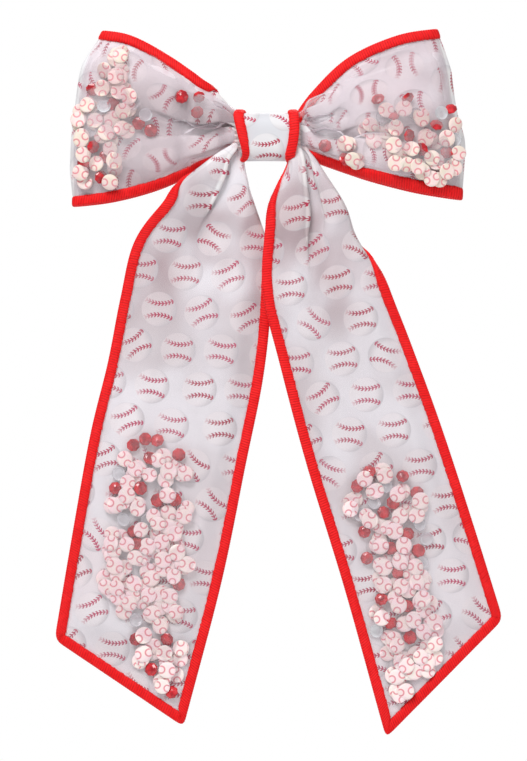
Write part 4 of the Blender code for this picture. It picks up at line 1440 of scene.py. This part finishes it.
def lathe(profile, sides, squash=1.0):
    """A round solid from (radius, height) pairs, closed at its first and last point."""
    turn = np.linspace(0, 2 * math.pi, sides, endpoint=False)
    rings = [
        np.stack([r * np.cos(turn), r * np.sin(turn) * squash, np.full(sides, h)], axis=1)
        for r, h in profile
    ]
    points = np.vstack([*rings, (0, 0, profile[0][1]), (0, 0, profile[-1][1])])
    faces = []
    for i in range(len(profile) - 1):
        for k in range(sides):
            n = (k + 1) % sides
            faces.append((i * sides + k, i * sides + n, (i + 1) * sides + n, (i + 1) * sides + k))
    low, high, last = len(points) - 2, len(points) - 1, (len(profile) - 1) * sides
    for k in range(sides):
        n = (k + 1) % sides
        faces.append((low, n, k))
        faces.append((high, last + k, last + n))
    return points, faces


def clay_disc(pile, place, normal, width, thick, tilt):
    """A slice cut from a clay cane: a little bent, with soft rims."""
    r, h = width / 2 / MM * pile.draw.uniform(0.92, 1.05), thick / 2
    profile = [(r * 0.55, -h), (r * 0.9, -h), (r, -h * 0.5), (r, h * 0.5), (r * 0.9, h),
               (r * 0.55, h)]
    local, faces = lathe(profile, 20, pile.draw.uniform(0.93, 1.0))
    uv = local[:, :2] / r * MM
    bend = pile.draw.normal(0, 0.035)
    turn = pile.draw.uniform(0, math.pi)
    along = local[:, 0] * math.cos(turn) + local[:, 1] * math.sin(turn)
    local[:, 2] += bend * (along**2 - r * r / 3)
    return pile.stand(local, place, normal, tilt), faces, uv


def bead(pile, place, normal, width, thick, tilt):
    """A faceted cup: eight sides, bevelled to a flat table on both faces."""
    r, h = width / 2 / MM * pile.draw.uniform(0.94, 1.04), thick / 2
    profile = [(r * 0.4, -h), (r * 0.84, -h * 0.55), (r, -h * 0.1), (r, h * 0.1),
               (r * 0.84, h * 0.5), (r * 0.5, h * 0.85), (r * 0.16, h)]
    local, faces = lathe(profile, 8)
    return pile.stand(local, place, normal, tilt * 1.8), faces, local[:, :2] / r * MM


def sequin(pile, place, normal, width, thick, tilt):
    """A clear round sequin, dished, with a rolled rim."""
    r, h = width / 2 / MM, thick / 2
    profile = [(r * 0.12, -h), (r * 0.6, -h * 0.7), (r * 0.95, h * 0.2), (r, h * 0.7),
               (r * 0.96, h), (r * 0.6, h * 0.1), (r * 0.12, -h * 0.2)]
    local, faces = lathe(profile, 24)
    return pile.stand(local, place, normal, tilt * 1.5), faces, local[:, :2] / r * MM


class BOW_OT_clip(bpy.types.Operator):
    """Finishes the clip behind the knot: steel arms, pin, spring and the ribbon lining"""

    bl_idname = "bow.clip"
    bl_label = "Clip"

    def execute(self, context):
        for node in ("clip_fixed_arm", "clip_jaw", "clip_pin", "clip_spring"):
            frame["nodes"][node].material_slots[0].material = skin("nickel_steel")
        frame["nodes"]["clip_lining"].material_slots[0].material = skin("grosgrain")
        return {"FINISHED"}


class BOW_OT_stage(bpy.types.Operator):
    """Sets up the pale floor, the soft lights and the camera"""

    bl_idname = "bow.stage"
    bl_label = "Stage"

    def execute(self, context):
        scene, look = context.scene, context.scene.bow_stage
        low, high = (np.array(corner) for corner in CAD_BOX)
        reach = 0.9
        drop = low[2] - look.floor_drop
        corners = [(-reach, -reach, drop), (reach, -reach, drop), (reach, reach, drop),
                   (-reach, reach, drop)]
        floor = new_object("floor", corners, [(0, 1, 2, 3)], skin("pale_floor"))
        scene.view_settings.view_transform = "Standard"
        world = bpy.data.worlds.new("soft_white")
        world.use_nodes = True
        tree = world.node_tree
        sky = tree.nodes["Background"]
        sky.inputs["Color"].default_value = (1.0, 1.0, 1.0, 1)
        sky.inputs["Strength"].default_value = look.sky
        white = tree.nodes.new("ShaderNodeBackground")
        white.inputs["Color"].default_value = (1.0, 1.0, 1.0, 1)
        rays = tree.nodes.new("ShaderNodeLightPath")
        either = tree.nodes.new("ShaderNodeMixShader")
        tree.links.new(rays.outputs["Is Camera Ray"], either.inputs[0])
        tree.links.new(sky.outputs[0], either.inputs[1])
        tree.links.new(white.outputs[0], either.inputs[2])
        tree.links.new(either.outputs[0], tree.nodes["World Output"].inputs["Surface"])
        scene.world = world
        centre = (low + high) / 2
        for name, place, size, power in (
            ("key", (-0.4, -0.95, 1.05), 0.7, look.key),
            ("fill", (0.9, -1.0, 0.35), 0.9, look.key * 0.15),
            ("rim", (0.2, 1.1, 0.8), 0.8, look.key * 0.5),
        ):
            lamp = bpy.data.lights.new(name, "AREA")
            lamp.shape = "DISK"
            lamp.size = size
            lamp.energy = power
            holder = bpy.data.objects.new(name, lamp)
            holder.location = Vector(centre) + Vector(place)
            holder.rotation_euler = (-Vector(place)).to_track_quat("-Z", "Y").to_euler()
            scene.collection.objects.link(holder)
        lens = bpy.data.cameras.new("camera")
        lens.lens = look.lens
        lens.sensor_width = 36
        lens.sensor_fit = "AUTO"
        camera = bpy.data.objects.new("camera", lens)
        camera.location = MIDDLE + np.array((-0.0017, -look.distance, -0.1021))
        camera.rotation_euler = (math.radians(90), 0, 0)
        scene.collection.objects.link(camera)
        scene.camera = camera
        return {"FINISHED"}


class BOW_PT_panel(bpy.types.Panel):
    """Lists the bow's settings and the steps that build it"""

    bl_idname = "BOW_PT_panel"
    bl_label = "Shaker cheer bow"
    bl_space_type = "VIEW_3D"
    bl_region_type = "UI"
    bl_category = "Bow"

    def draw(self, context):
        for step in STEPS:
            self.layout.operator(step)
        for group in SETTINGS:
            box = self.layout.box()
            holder = getattr(context.scene, group)
            for name in holder.bl_rna.properties.keys():
                if name not in ("rna_type", "name"):
                    box.prop(holder, name)


STEPS = ("bow.stage", "bow.loops", "bow.tails", "bow.knot", "bow.filling", "bow.clip")
SETTINGS = {
    "bow_cloth": BowClothSettings,
    "bow_thread": BowThreadSettings,
    "bow_filling": BowFillingSettings,
    "bow_stage": BowStageSettings,
}
CLASSES = (
    *SETTINGS.values(),
    BOW_OT_stage,
    BOW_OT_loops,
    BOW_OT_tails,
    BOW_OT_knot,
    BOW_OT_filling,
    BOW_OT_clip,
    BOW_PT_panel,
)


def register():
    for kind in CLASSES:
        bpy.utils.register_class(kind)
    for name, kind in SETTINGS.items():
        setattr(bpy.types.Scene, name, PointerProperty(type=kind))


def unregister():
    for name in SETTINGS:
        delattr(bpy.types.Scene, name)
    for kind in reversed(CLASSES):
        bpy.utils.unregister_class(kind)


def main():
    register()
    for step in STEPS:
        group, name = step.split(".")
        getattr(getattr(bpy.ops, group), name)()


if __name__ == "__main__":
    main()
